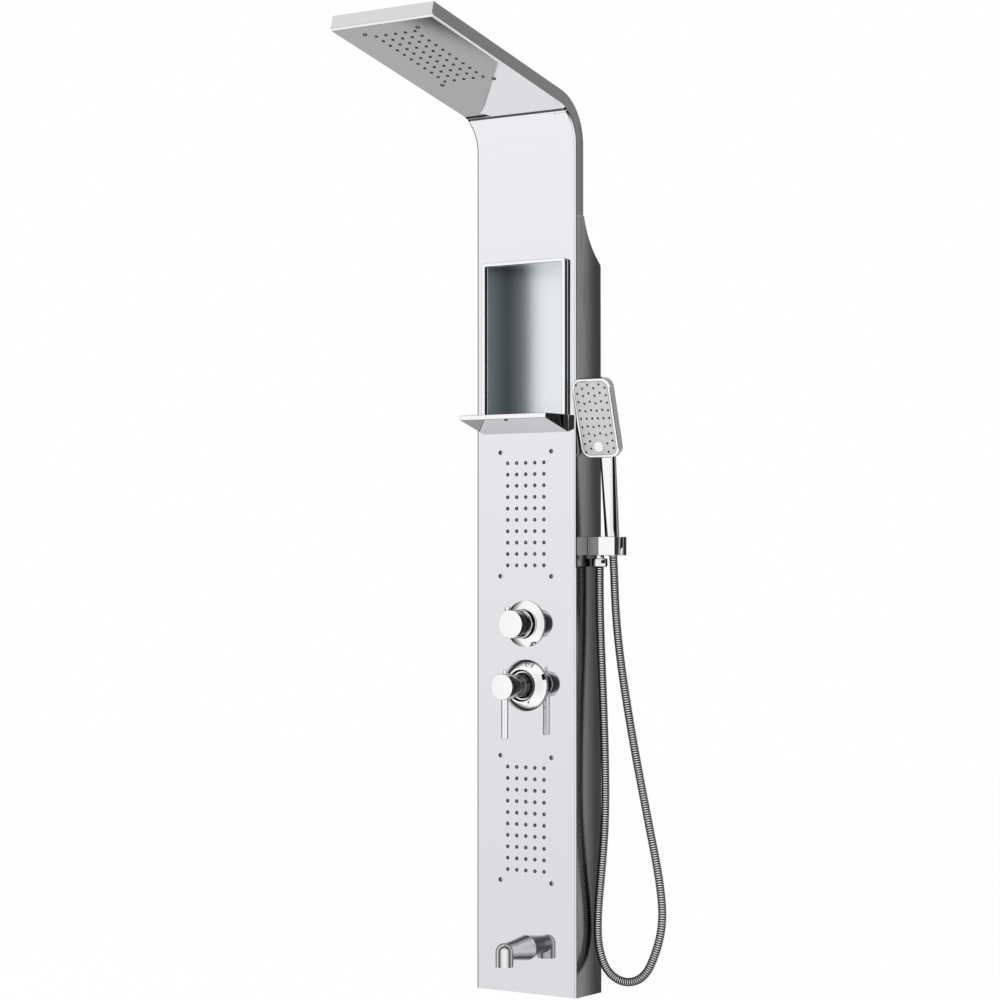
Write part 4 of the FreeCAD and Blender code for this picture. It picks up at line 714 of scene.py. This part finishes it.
def head_spot(sizes, run, lift=0.0):
    """A spot at a distance in front of the bend and at a lift above the head's underside."""
    turn = head_turn(sizes)
    y, z, back_y, back_z = bend_spots(sizes, turn, turn, 1)[0]
    return (y - run * math.sin(turn) + lift * back_y, z + run * math.cos(turn) + lift * back_z,
            back_y, back_z)


def end_curl(sizes, steps=5):
    """The run and the inset of each spot round the head's far edges."""
    for at in (QUARTER * share for share in shares(steps)[1:]):
        yield sizes.head_length - sizes.fold * (1 - math.sin(at)), sizes.fold * (1 - math.cos(at))


def seam_of(sizes):
    """The height at which the sides end, under the neck's cover."""
    return sizes.seam_height - sizes.seam_gap


def flare_depth(sizes, height):
    """How deep the sides are at a height."""
    if height <= sizes.flare_height:
        return sizes.depth
    start, end = Vector((sizes.depth, sizes.flare_height)), Vector((sizes.neck_depth, seam_of(sizes)))
    chord = end - start
    rise = math.sqrt(sizes.flare_radius ** 2 - chord.length_squared / 4)
    centre = (start + end) / 2 + Vector((chord.y, -chord.x)).normalized() * rise
    return centre.x - math.sqrt(sizes.flare_radius ** 2 - (height - centre.y) ** 2)


def front_sheet(sizes):
    """The folded front, its two sides and the returns behind them."""
    half, fold, seam = sizes.width / 2, sizes.fold, seam_of(sizes)
    niche_top = sizes.niche_floor + sizes.niche_height
    flare = [sizes.flare_height + (seam - sizes.flare_height) * share for share in shares(16)]
    heights = sorted({0.0, sizes.niche_floor, niche_top, sizes.bend_height, *flare})
    spots = upright(heights) + bend_spots(sizes, 0, sizes.slot_rise)[1:]
    left, right = front_folds(sizes)
    profile = left + [(-sizes.niche_width / 2, 0), (sizes.niche_width / 2, 0)] + right
    points, faces = swept(profile, spots)
    # The niche's opening is the middle strip between its floor and its top.
    rows = range(heights.index(sizes.niche_floor), heights.index(niche_top))
    opening = {row * len(profile) + len(left) for row in rows}
    front = mesh_of("front", points, [face for face in faces if face[0] not in opening])

    sheets = []
    low_rows = [height for height in heights if height <= seam]
    for side in (-1, 1):
        points = []
        for height in low_rows:
            rear = flare_depth(sizes, height) - (fold if height <= sizes.flare_height else 0)
            points += [(side * half, FACE + depth, FOOT + height) for depth in (fold, rear)]
        quads = [(at, at + 1, at + 3, at + 2) for at in range(0, len(points) - 2, 2)]
        profile = fold_arc(half, sizes.depth, side, fold, back=True)[::-1]
        profile.append((side * (half - sizes.back_return), sizes.depth))
        straight = upright([height for height in low_rows if height <= sizes.flare_height])
        sheets += [mesh_of("side", points, quads), mesh_of("return", *swept(profile, straight))]
    return joined("column_front", front, *[second_finish(mesh) for mesh in sheets])


def core_line(sizes):
    """The line inside the column and its head that every sheet faces away from."""
    deep, bend_z, turn = sizes.neck_depth / 2, FOOT + sizes.bend_height, head_turn(sizes)
    centre = Vector((0, FACE - sizes.bend_radius, bend_z))
    along = Vector((0, -math.sin(turn), math.cos(turn)))

    def nearest(point):
        if point.z < bend_z:
            half_depth = flare_depth(sizes, min(point.z - FOOT, seam_of(sizes))) / 2
            return Vector((0, FACE + half_depth, point.z))
        arm = point - centre
        at = min(math.atan2(arm.z, arm.y), turn)
        spot = centre + (sizes.bend_radius + deep) * Vector((0, math.cos(at), math.sin(at)))
        run = max((point - spot).dot(along), 0) if at >= turn else 0
        return spot + along * min(run, sizes.head_length - deep)
    return nearest


def neck_sheet(sizes):
    """The cover behind the neck, bend and head, with the head's end face."""
    def profile(inset):
        half, deep = sizes.width / 2 - inset, sizes.neck_depth - inset
        left, right = (fold_arc(half, deep, side, sizes.fold, back=True) for side in (-1, 1))
        start = sizes.fold + sizes.seam_gap
        return [(half, start)] + right[::-1] + left + [(-half, start)]

    spots = upright((sizes.seam_height, sizes.bend_height)) + bend_spots(sizes, 0, head_turn(sizes), 28)[1:]
    spots.append(head_spot(sizes, sizes.head_length - sizes.fold))
    points, faces = swept(profile(0), spots)
    count = len(profile(0))
    for run, inset in end_curl(sizes):
        base = len(points)
        points += swept(profile(inset), [head_spot(sizes, run)])[0]
        faces += [(at - count, at - count + 1, at + 1, at) for at in range(base, base + count - 1)]
    faces.append(tuple(range(len(points) - count, len(points))))
    return mesh_of("neck_shell", points, faces)


def underside_sheet(sizes):
    """The head's underside, from the lip above the slot to the head's end."""
    left, right = front_folds(sizes)
    spots = bend_spots(sizes, sizes.slot_rise + sizes.slot_opening, head_turn(sizes), 10)
    spots.append(head_spot(sizes, sizes.head_length - sizes.fold))
    spots += [head_spot(sizes, run, lift) for run, lift in end_curl(sizes)]
    return mesh_of("head_underside", *swept(left + right, spots))


class Step:
    """What the building steps share."""
    def execute(self, context):
        self.build(context.scene)
        return {"FINISHED"}


class SHOWER_OT_sheets(Step, bpy.types.Operator):
    """Build the column's front, the neck's cover and the head's underside"""
    bl_idname = "shower_column.sheets"
    bl_label = "Column sheets"

    def build(self, scene):
        sizes = scene.column_sizes
        inside = core_line(sizes)
        front, neck, underside = (outward(sheet(sizes), inside)
                                  for sheet in (front_sheet, neck_sheet, underside_sheet))
        # Painted light and shade: faces that point across the neck take its pale copy of the steel, its sides
        # the dark copy.
        for face in neck.polygons:
            face.material_index = int(abs(face.normal.x) < 0.5)
        for skin in (("column_front", front, "column", "front_panel", "polished_steel", "sheet", "side"),
                     ("neck_shell", neck, "column", "neck_cover", "brushed_steel", "neck_side", "neck_end"),
                     ("head_underside", underside, "column", "head_plate", "polished_steel", "underside")):
            thickened(piece(*skin), sizes.sheet)


# ---- the niche
class SHOWER_OT_niche(Step, bpy.types.Operator):
    """Build the niche's raised rim and its shelf"""
    bl_idname = "shower_column.niche"
    bl_label = "Niche rim and shelf"

    def build(self, scene):
        sizes = scene.column_sizes
        rim, half, top = sizes.rim_width, sizes.niche_width / 2, sizes.niche_height
        low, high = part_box("niche_frame")
        outer = eased([(-half - rim, 0), (-half - rim, top + rim), (half + rim, top + rim), (half + rim, 0)],
                      sizes.rim_corner, 6)
        inner = eased([(half, 0), (half, top), (-half, top), (-half, 0)], sizes.rim_corner / 3, 4)
        mesh = prism("niche_rim", outer + inner, 0, high[1] - low[1], front_place(0, sizes.niche_floor))
        softened(piece("niche_rim", mesh, "column", "niche_frame", "polished_steel", "chrome"), 0.9 * MM)

        low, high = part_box("niche_shelf")
        reach, drop = high[1] - low[1], high[2] - low[2]
        wedge = [(0, 0), (0, -drop), (reach, -sizes.shelf_lip), (reach, 0)]
        place = Matrix(((0, 0, 1, 0), (-1, 0, 0, FACE), (0, 1, 0, high[2]), (0, 0, 0, 1)))
        mesh = prism("niche_ledge", wedge, low[0], high[0], place)
        softened(piece("niche_ledge", mesh, "column", "niche_shelf", "polished_steel", "chrome"), 1.2 * MM, 3)


# ---- tips and screws
class SHOWER_OT_fields(Step, bpy.types.Operator):
    """Build the rain tips, the body jets and their screws"""
    bl_idname = "shower_column.fields"
    bl_label = "Tips and screws"

    def build(self, scene):
        sizes = scene.column_sizes
        tree = field_tree()
        # A silicone tip swells from the sheet to a blunt nose with a bore; a rain tip is slimmer.
        nose = [(1.0, -3.0), (3.3, -3.0), (3.3, 0.15), (3.15, 0.6), (2.6, 1.05), (1.9, 1.25), (1.25, 1.2),
                (1.0, 0.9)]
        jet = stock_part("jet_tip", nose, 20)
        rain = stock_part("rain_tip", [(radius * 0.88, height) for radius, height in nose], 20)
        # A low dome with a round recess for the driver.
        dome = [(0.2, 0.5), (1.4, 0.5), (1.6, 1.75), (2.4, 1.7), (3.4, 1.2), (3.95, 0.35), (4.0, 0.0),
                (2.0, 0.0), (2.0, -9.0), (0.2, -9.0)]
        bolt = stock_part("screw", dome, 24)
        y, z, _, _ = head_spot(sizes, sizes.rain_middle)
        under = Matrix.Translation((0, y, z)) @ Matrix.Rotation(2 * QUARTER - sizes.head_tilt, 4, "X")
        jets = (jet, (5, 10, sizes.jet_across, sizes.jet_down), (2, 2, 102.6 * MM, 208.4 * MM))
        fields = (
            ("rain", under, rain, (5, 11, sizes.rain_pitch, sizes.rain_pitch), (2, 2, 103 * MM, 214 * MM),
             "head_nozzle_mat", "head_screws"),
            ("upper", front_place(0, sizes.upper_jets), *jets, "upper_jet_mat", "upper_jet_screws"),
            ("lower", front_place(0, sizes.lower_jets), *jets, "lower_jet_mat", "lower_jet_screws"))
        for name, place, tip, tip_grid, screw_grid, mat, screws in fields:
            for label, part, grid, node, finish_name, slot in (
                    ("tips", tip, tip_grid, mat, "tip", "jet_rubber"),
                    ("screws", bolt, screw_grid, screws, "screw", "screw_steel")):
                values = dict(zip(("Columns", "Rows", "Across", "Up"), grid), Part=part,
                              Finish=FINISHES[finish_name])
                mesh = grown(f"{name}_{label}", bpy.data.meshes.new("empty"), tree, values)
                mesh.transform(place)
                piece(f"{name}_{label}", mesh, "column", node, slot, finish_name)
        for part in (jet, rain, bolt):
            bpy.data.objects.remove(part)


# ---- diverter and mixer
def peg_outline(radius, low, high, edge):
    """A solid peg with eased rims, as an outline that starts and ends on its axis."""
    return eased([(0, low), (radius, low), (radius, high), (0, high)], edge)


def plate_outline(bore, rim, shoulder, curve, boss, edge):
    """A round cover: up from its rim over a dome to a shoulder, then along its boss's corners."""
    lip = (rim, 2.4)
    return (eased([(bore, 0), (rim, 0), lip], edge / 2) + arc_between(lip, shoulder, curve)
            + eased([shoulder, *boss], edge))


def barrel_outline(radius, bore, low, depth, high, edge):
    """A solid barrel with a bore from below, as deep as a height."""
    return eased([(0, depth), (bore, depth), (bore, low), (radius, low), (radius, high), (0, high)], edge)


class SHOWER_OT_controls(Step, bpy.types.Operator):
    """Build the diverter and the mixer with their plates"""
    bl_idname = "shower_column.controls"
    bl_label = "Diverter and mixer"

    def build(self, scene):
        sizes = scene.control_sizes
        edge, knob, barrel = sizes.edge / MM, sizes.knob_radius / MM, sizes.barrel_radius / MM
        diverter, mixer = front_place(0, sizes.diverter_height), front_place(0, sizes.mixer_height)
        sleeve = eased([(16, 9), (22, 9), (22, 11.5), (18.5, 20.5), (18.5, 23), (15.5, 25.5), (15.5, 37),
                        (13, 37), (13, 23), (16, 20.5)], edge, closed=True)
        # The pointer stands on the knob and the lever hangs from the barrel, so far in front of the face.
        pointer = (up_place(0, -39 * MM, sizes.diverter_height)
                   @ Matrix.Rotation(-sizes.pointer_turn, 4, "Y"))
        rod = up_place(0, -62 * MM, sizes.mixer_height)
        lever_foot = (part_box("mixer_lever_rod")[0][2] - FOOT - sizes.mixer_height) / MM
        collar, recess = [(24.5, 7), (24.5, 18), (14.3, 18)], [(26.6, 15), (24.4, 9), (20.3, 9)]
        parts = (
            ("diverter_plate", plate_outline(14.3, 39, (27, 7), 60, collar, edge), diverter, 128, "column",
             "diverter_escutcheon", "chrome"),
            ("diverter_barrel", barrel_outline(knob, 5.1, 21, 22, 47, edge), diverter, 128,
             "diverter_control", "diverter_knob", "chrome"),
            ("mixer_plate", plate_outline(20.3, 43.5, (29, 15), 30, recess, edge), mixer, 128, "column",
             "mixer_escutcheon", "chrome"),
            ("mixer_sleeve", sleeve, mixer, 128, "column", "mixer_shroud", "sleeve"),
            ("mixer_barrel", barrel_outline(barrel, 4.6, 48, 60, 72, edge), mixer, 128, "mixer_lever",
             "mixer_handle", "chrome"),
            ("diverter_marker", peg_outline(4.5, knob - 1.5, knob + 7.5, 1.6), pointer, 48,
             "diverter_control", "diverter_pointer", "chrome"),
            ("mixer_marker", peg_outline(2.5, 13, barrel + 7, 0.9), rod, 48, "mixer_lever", "mixer_index_pin",
             "chrome"),
            ("mixer_rod", peg_outline(sizes.lever_radius / MM, lever_foot, -9.5, 1.4), rod, 48, "mixer_lever",
             "mixer_lever_rod", "chrome"))
        for name, outline, place, steps, body, node, finish_name in parts:
            piece(name, turned(name, outline, place, steps), body, node, "chrome", finish_name)


class SHOWER_OT_spout(Step, bpy.types.Operator):
    """Build the tub spout and its aerator"""
    bl_idname = "shower_column.spout"
    bl_label = "Tub spout"

    def build(self, scene):
        sizes = scene.control_sizes
        reach = sizes.spout_reach / MM
        # The body tapers from its root at the sheet to the elbow, whose round crown turns down to the mouth.
        taper = [(0, 0), (21, 0), (20.8, 1.2), (19.6, 10), (17.7, 25), (15.8, 40), (14.2, reach), (0, reach)]
        body = turned("spout_taper", taper, front_place(0, sizes.spout_height), 96, 50)
        bore, mouth, drop = 11.1, 15, 24
        crown = [(mouth * math.cos(at), mouth * math.sin(at))
                 for at in (QUARTER * share for share in shares(14))]
        elbow = crown + [(0, -drop * 0.6), (bore, -drop * 0.6), (bore, -drop), (mouth, -drop)]
        tip = turned("spout_tip", elbow, up_place(0, -sizes.spout_reach, sizes.spout_height), 96, 50)
        piece("spout_body", joined("spout_body", body, tip), "column", "spout", "chrome", "spout")
        low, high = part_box("spout_aerator")
        rim, top = (high[0] - low[0]) / 2 / MM, (high[2] - low[2]) / MM
        ring = eased([(0, 3), (rim - 2.4, 3), (rim - 2.4, 0), (rim, 0), (rim, top), (0, top)], 0.5)
        screen = turned("spout_screen", ring, box_place(low, high), 64)
        piece("spout_screen", screen, "column", "spout_aerator", "grey_plastic", "plastic")


# ---- holder, hose and hand shower
def handset_place(sizes):
    """The place of the handle's foot in the holder; its Z points up along the handle."""
    low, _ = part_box("handset_holder")
    return (Matrix.Translation((SOCKET_X, FACE + SOCKET_DEPTH, low[2]))
            @ Matrix.Rotation(sizes.lean, 4, "X"))


def spray_place(sizes):
    """The place of the spray face's middle; its Z points out of the face and its Y up."""
    shift, height = -34.9 * MM, 229.7 * MM
    return (handset_place(sizes) @ Matrix.Translation((0, shift, height))
            @ Matrix.Rotation(sizes.face_lean + QUARTER, 4, "X"))


class SHOWER_OT_holder(Step, bpy.types.Operator):
    """Build the hand shower's holder with its slotted socket, and the hose's nuts"""
    bl_idname = "shower_column.holder"
    bl_label = "Holder and nuts"

    def build(self, scene):
        low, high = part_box("handset_holder")
        left, right, front, back = scene.column_sizes.width / 2, high[0], low[1], high[1]
        middle, slot = FACE + SOCKET_DEPTH, 7.5 * MM
        rings = []
        # The socket widens upwards and leans forward with the handle.
        for height, shift, radius in ((low[2], 0, 9.9 * MM), (high[2], -3.0 * MM, 11.9 * MM)):
            centre = Vector((SOCKET_X, middle + shift))
            start, end = (math.asin((edge - centre.y) / radius) for edge in (middle - slot, middle + slot))
            bite = [centre + radius * Vector((math.cos(at), math.sin(at)))
                    for at in (end + (2 * math.pi + start - end) * share for share in shares(28))]
            outline = [(left, front), (right, front), (right, middle - slot), *reversed(bite),
                       (right, middle + slot), (right, back), (left, back)]
            rings.append([(x, y, height) for x, y in outline])
        mesh = stacked("holder_block", rings, Matrix.Identity(4))
        softened(piece("holder_block", mesh, "column", "handset_holder", "chrome", "chrome"), 0.8 * MM)

        pipe = [(4.5, 0), (8.0, 0), (8.0, 22.6), (4.5, 22.6)]
        nut = [(7.4, 0), (11.5, 0), (13.5, 1.6), (13.5, 11.6), (13.0, 12.1), (13.0, 12.5), (13.5, 13.0),
               (13.5, 13.6), (12.6, 14.5), (8.1, 14.5), (8.1, 7), (7.4, 7)]
        cone = [(7.3, 0), (9.6, 0), (11.6, 32.6), (7.3, 32.6)]
        for name, outline, edge, place, body, node in (
                ("outlet_pipe", pipe, 0.5, box_place(*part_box("hose_outlet_nipple")), "column",
                 "hose_outlet_nipple"),
                ("outlet_nut", nut, 0.5, box_place(*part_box("hose_nut")), "column", "hose_nut"),
                ("handle_nut", cone, 0.6, handset_place(scene.hand_sizes), "hand_shower",
                 "handset_cone_nut")):
            mesh = turned(name, eased(outline, edge, closed=True), place, 64)
            piece(name, mesh, body, node, "chrome", "chrome")


class SHOWER_OT_hose(Step, bpy.types.Operator):
    """Build the ribbed metal hose on its route"""
    bl_idname = "shower_column.hose"
    bl_label = "Hose"

    def build(self, scene):
        sizes = scene.hand_sizes
        curve = bpy.data.curves.new("hose_route", "CURVE")
        curve.dimensions = "3D"
        spline = curve.splines.new("NURBS")
        spline.points.add(len(HOSE_ROUTE) - 1)
        for point, spot in zip(spline.points, HOSE_ROUTE):
            point.co = (*spot, 1)
        spline.order_u = 3
        spline.use_endpoint_u = True
        spline.resolution_u = 24
        path = [tuple(vertex.co) for vertex in grown("hose_line", curve).vertices]
        mesh = grown("hose", curve, hose_tree(),
                     {"Radius": sizes.hose_radius, "Pitch": sizes.hose_pitch, "Groove": sizes.hose_groove,
                      "Sides": 22, "Finish": FINISHES["hose"]})
        hose = piece("hose", mesh, "column", "shower_hose", "chrome", "hose")


class SHOWER_OT_hand_shower(Step, bpy.types.Operator):
    """Build the hand shower's shell, face, tips and button"""
    bl_idname = "shower_column.hand_shower"
    bl_label = "Hand shower"

    def build(self, scene):
        sizes = scene.hand_sizes
        width, tall = sizes.face_width, sizes.face_length
        place = spray_place(sizes)

        def rings_of(section):
            """Rings of the spray head, each drawn in by an inset and set back by a depth."""
            corner = 17 * MM
            return [[(x, y, -depth * MM) for x, y in
                     rounded_ring(width - 2 * inset * MM, tall - 2 * inset * MM, corner - inset * MM * 0.8)]
                    for inset, depth in section]

        section = ((5.0, 3.8), (5.0, 0.9), (4.6, 0.35), (3.6, 0.05), (2.4, 0.0), (1.2, 0.25), (0.35, 1.1),
                   (0.0, 2.4), (0.0, 12.5), (0.5, 15.0), (1.9, 17.2), (4.2, 18.6), (7.5, 19.0))
        head = stacked("spray_head", rings_of(section), place)

        # Height, width, depth and shift of the handle, which bends back into the head.
        stations = ((32.6, 24.4, 24.4, 0.0), (98.6, 26.5, 19.7, 0.0), (164.6, 28.6, 15.0, 0.0),
                    (204.6, 28.6, 8.0, -14.0))
        rings = []
        for (z0, w0, d0, y0), (z1, w1, d1, y1) in zip(stations, stations[1:]):
            for share in shares(8):
                ease = share * share * (3 - 2 * share)
                wide, deep = (w0 + (w1 - w0) * share) * MM, (d0 + (d1 - d0) * share) * MM
                shift, height = (y0 + (y1 - y0) * ease) * MM, (z0 + (z1 - z0) * share) * MM
                rings.append([(x, y + shift, height)
                              for x, y in rounded_ring(wide, deep, deep / 2 - 0.1 * MM)])
        handle = second_finish(stacked("handle", rings, handset_place(sizes)))
        flattened(piece("handset_shell", joined("handset_shell", head, handle), "hand_shower", "handset_body",
                        "chrome", "shell", "chrome"), True)

        plate = stacked("spray_plate", rings_of(((5.1, 4.0), (5.1, 1.4), (5.4, 1.05), (6.2, 1.0))), place)
        piece("spray_plate", plate, "hand_shower", "handset_face", "face_plastic", "spray_face")

        # Six columns of nine tips, every second one a little shorter, round the button's ring.
        half_x, half_y = width / 2 - 10 * MM, tall / 2 - 10 * MM
        button_drop, button_ring = 48 * MM, 14.6 * MM
        spots = []
        for column in range(6):
            reach = half_y - 6 * MM * (column % 2)
            for row in range(9):
                spot = (half_x * (2 * column / 5 - 1), reach * (2 * row / 8 - 1), -1 * MM)
                if math.hypot(spot[0], spot[1] + button_drop) > button_ring:
                    spots.append(spot)
        cone = stock_part("spray_tip", [(0, -1), (2.0, -1), (2.0, 0.3), (1.6, 0.9), (0.8, 1.0), (0, 0.6)], 12)
        mesh = grown("spray_tips", mesh_of("spots", spots, []), spots_tree(),
                     {"Part": cone, "Finish": FINISHES["tip"]})
        mesh.transform(place)
        piece("spray_tips", mesh, "hand_shower", "handset_nozzles", "jet_rubber", "tip")
        bpy.data.objects.remove(cone)

        cap = eased([(0, -4.3), (10.4, -4.3), (10.4, -5.8), (9.0, -5.8), (9.0, 2.2), (6.5, 3.0), (0, 3.0)],
                    0.9)
        cap_place = place @ Matrix.Translation((0, -button_drop, 0))
        piece("push_button", turned("push_button", cap, cap_place, 64, 60), "spray_button", "handset_button",
              "grey_plastic", "button")


# ---- the CAD pieces that stay
KEPT = {
    "sheet": ("bottom_cap",),
    "niche": ("niche_box",),
    "plastic": ("head_water_chamber", "upper_jet_chamber", "lower_jet_chamber", "waterfall_duct",
                "diverter_cartridge", "mixer_cartridge", "mixer_carrier"),
    "brass": ("diverter_valve_body", "mixer_valve_body", "diverter_locknut", "mixer_locknut", "spout_locknut",
              "holder_locknut", "spout_nipple", "diverter_spindle"),
    "chrome": ("mixer_stem",),
    "pipe": ("head_feed_pipe", "waterfall_pipe", "upper_jet_pipe", "lower_jet_pipe", "spout_pipe",
             "hand_outlet_pipe", "valve_link_pipe"),
    "screw": ("diverter_grub_screw", "mixer_grub_screw", "handset_button_spring"),
    "zinc": ("wall_brackets", "hanger_rails"),
}


class SHOWER_OT_finishes(Step, bpy.types.Operator):
    """Give each CAD piece that stays its finish"""
    bl_idname = "shower_column.finishes"
    bl_label = "Finishes"

    def build(self, scene):
        for finish_name, names in KEPT.items():
            for name in names:
                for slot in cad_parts[name].material_slots:
                    slot.material = FINISHES[finish_name]


# ---- the studio
def stage_piece(name, corners, fill_tree):
    """A flat piece of the studio with its own material."""
    obj = shown(bpy.data.objects.new(name, mesh_of(name, corners, [tuple(range(len(corners)))])))
    material = bare_material(name)
    fill_tree(material.node_tree)
    obj.data.materials.append(material)
    return obj


def card(name, centre, facing_to, wide, tall, tone):
    """A card that only reflections see, as a photographer hangs one beside polished metal."""
    centre, facing_to = Vector(centre), Vector(facing_to).normalized()
    across = facing_to.cross(Vector((0, 0, 1))).normalized() * wide / 2
    up = across.cross(facing_to).normalized() * tall / 2
    corners = [centre - across - up, centre + across - up, centre + across + up, centre - across + up]

    def fill_tree(tree):
        glow = add(tree, "ShaderNodeEmission", {"Color": (tone, tone, tone, 1), "Strength": 1.0})
        add(tree, "ShaderNodeOutputMaterial", {"Surface": glow.outputs["Emission"]})

    obj = stage_piece(name, corners, fill_tree)
    for rays in ("camera", "diffuse", "shadow", "transmission"):
        setattr(obj, "visible_" + rays, False)


def shown_rays(tree):
    """One for the rays that show the background: those of the camera, of mirrors and of glass."""
    rays = add(tree, "ShaderNodeLightPath").outputs
    both = maths(tree, "MAXIMUM", rays["Is Camera Ray"], rays["Is Glossy Ray"])
    return maths(tree, "MAXIMUM", both, rays["Is Transmission Ray"])


class SHOWER_OT_studio(Step, bpy.types.Operator):
    """Set up the camera, the pale floor, the soft light and the cards that the metal mirrors"""
    bl_idname = "shower_column.studio"
    bl_label = "Studio"

    def build(self, scene):
        studio = scene.studio
        background = (*studio.background, 1)
        # The photograph's viewpoint, from the fit to the measured points.
        camera = bpy.data.cameras.new("camera")
        camera.sensor_width = 36
        camera.lens = 95.619
        scene.camera = shown(bpy.data.objects.new("camera", camera))
        scene.camera.location = (2.49323, -3.77003, -0.40691)
        scene.camera.rotation_euler = (math.radians(91.42), 0, math.radians(34.6))

        world = bpy.data.worlds.new("studio")
        world.use_nodes = True
        scene.world = world
        tree = world.node_tree
        tree.nodes.clear()
        strength = ranged(tree, shown_rays(tree), to_low=studio.fill, to_high=1.0)
        light = add(tree, "ShaderNodeBackground", {"Color": background, "Strength": strength})
        add(tree, "ShaderNodeOutputWorld", {"Surface": light.outputs["Background"]})

        def floor_tree(tree):
            paint = add(tree, "ShaderNodeBsdfDiffuse", {"Color": background})
            glow = add(tree, "ShaderNodeEmission", {"Color": background, "Strength": 1.0})
            both = add(tree, "ShaderNodeMixShader", {0: maths(tree, "MULTIPLY", shown_rays(tree), 0.94),
                                                     1: paint.outputs["BSDF"], 2: glow.outputs["Emission"]})
            add(tree, "ShaderNodeOutputMaterial", {"Surface": both.outputs["Shader"]})

        low, far = FOOT - studio.floor_drop, 9
        stage_piece("floor", [(-far, -far, low), (far, -far, low), (far, far, low), (-far, far, low)],
                    floor_tree)

        key = bpy.data.lights.new("key", "AREA")
        key.size = 2.0
        key.energy = studio.key_power
        lamp = shown(bpy.data.objects.new("key", key))
        lamp.location = (-1.6, -2.6, 1.4)
        lamp.rotation_euler = Vector((1.6, 2.6, -1.9)).to_track_quat("-Z", "Y").to_euler()
        lamp.visible_glossy = False

        # The sides mirror a grey card behind them, the handle a black one at its right and the head a grey
        # one below it, with a black strip that its curl mirrors.
        card("side_card", (0.95, 1.25, -0.35), (-0.551, -0.834, 0), 1.5, 3.0, 0.85)
        card("handle_flag", (0.55, -0.1, -0.27), (-1, 0, 0), 0.55, 0.28, 0.01)
        card("head_card", (-0.75, 0.62, -0.3), (0.55, -0.68, 0.5), 1.4, 1.1, 0.46)
        card("curl_flag", (-0.47, 0.37, -0.29), (0.55, -0.5, 0.66), 0.9, 0.2, 0.02)


class SHOWER_PT_panel(bpy.types.Panel):
    """Lists the steps and the sizes in the 3D view's sidebar"""
    bl_idname = "SHOWER_PT_panel"
    bl_label = "Shower panel column"
    bl_space_type = "VIEW_3D"
    bl_region_type = "UI"
    bl_category = "Shower column"

    def draw(self, context):
        for step in STEPS:
            self.layout.operator(step.bl_idname)
        for group in GROUPS:
            settings = getattr(context.scene, GROUPS[group])
            box = self.layout.box()
            for name in group.__annotations__:
                box.prop(settings, name)


GROUPS = {ColumnSizes: "column_sizes", ControlSizes: "control_sizes", HandShowerSizes: "hand_sizes",
          FinishColours: "finish_colours", StudioSettings: "studio"}
STEPS = (SHOWER_OT_studio, SHOWER_OT_hose, SHOWER_OT_sheets, SHOWER_OT_niche, SHOWER_OT_fields,
         SHOWER_OT_controls, SHOWER_OT_spout, SHOWER_OT_holder, SHOWER_OT_hand_shower, SHOWER_OT_finishes)


def register():
    for group, name in GROUPS.items():
        bpy.utils.register_class(group)
        setattr(bpy.types.Scene, name, bpy.props.PointerProperty(type=group))
    for made in (*STEPS, SHOWER_PT_panel):
        bpy.utils.register_class(made)


def unregister():
    for made in (SHOWER_PT_panel, *reversed(STEPS)):
        bpy.utils.unregister_class(made)
    for group, name in GROUPS.items():
        delattr(bpy.types.Scene, name)
        bpy.utils.unregister_class(group)


def main():
    register()
    bpy.context.scene.view_settings.view_transform = "Standard"
    make_finishes()
    for step in STEPS:
        group, name = step.bl_idname.split(".")
        getattr(getattr(bpy.ops, group), name)()


if __name__ == "__main__":
    main()
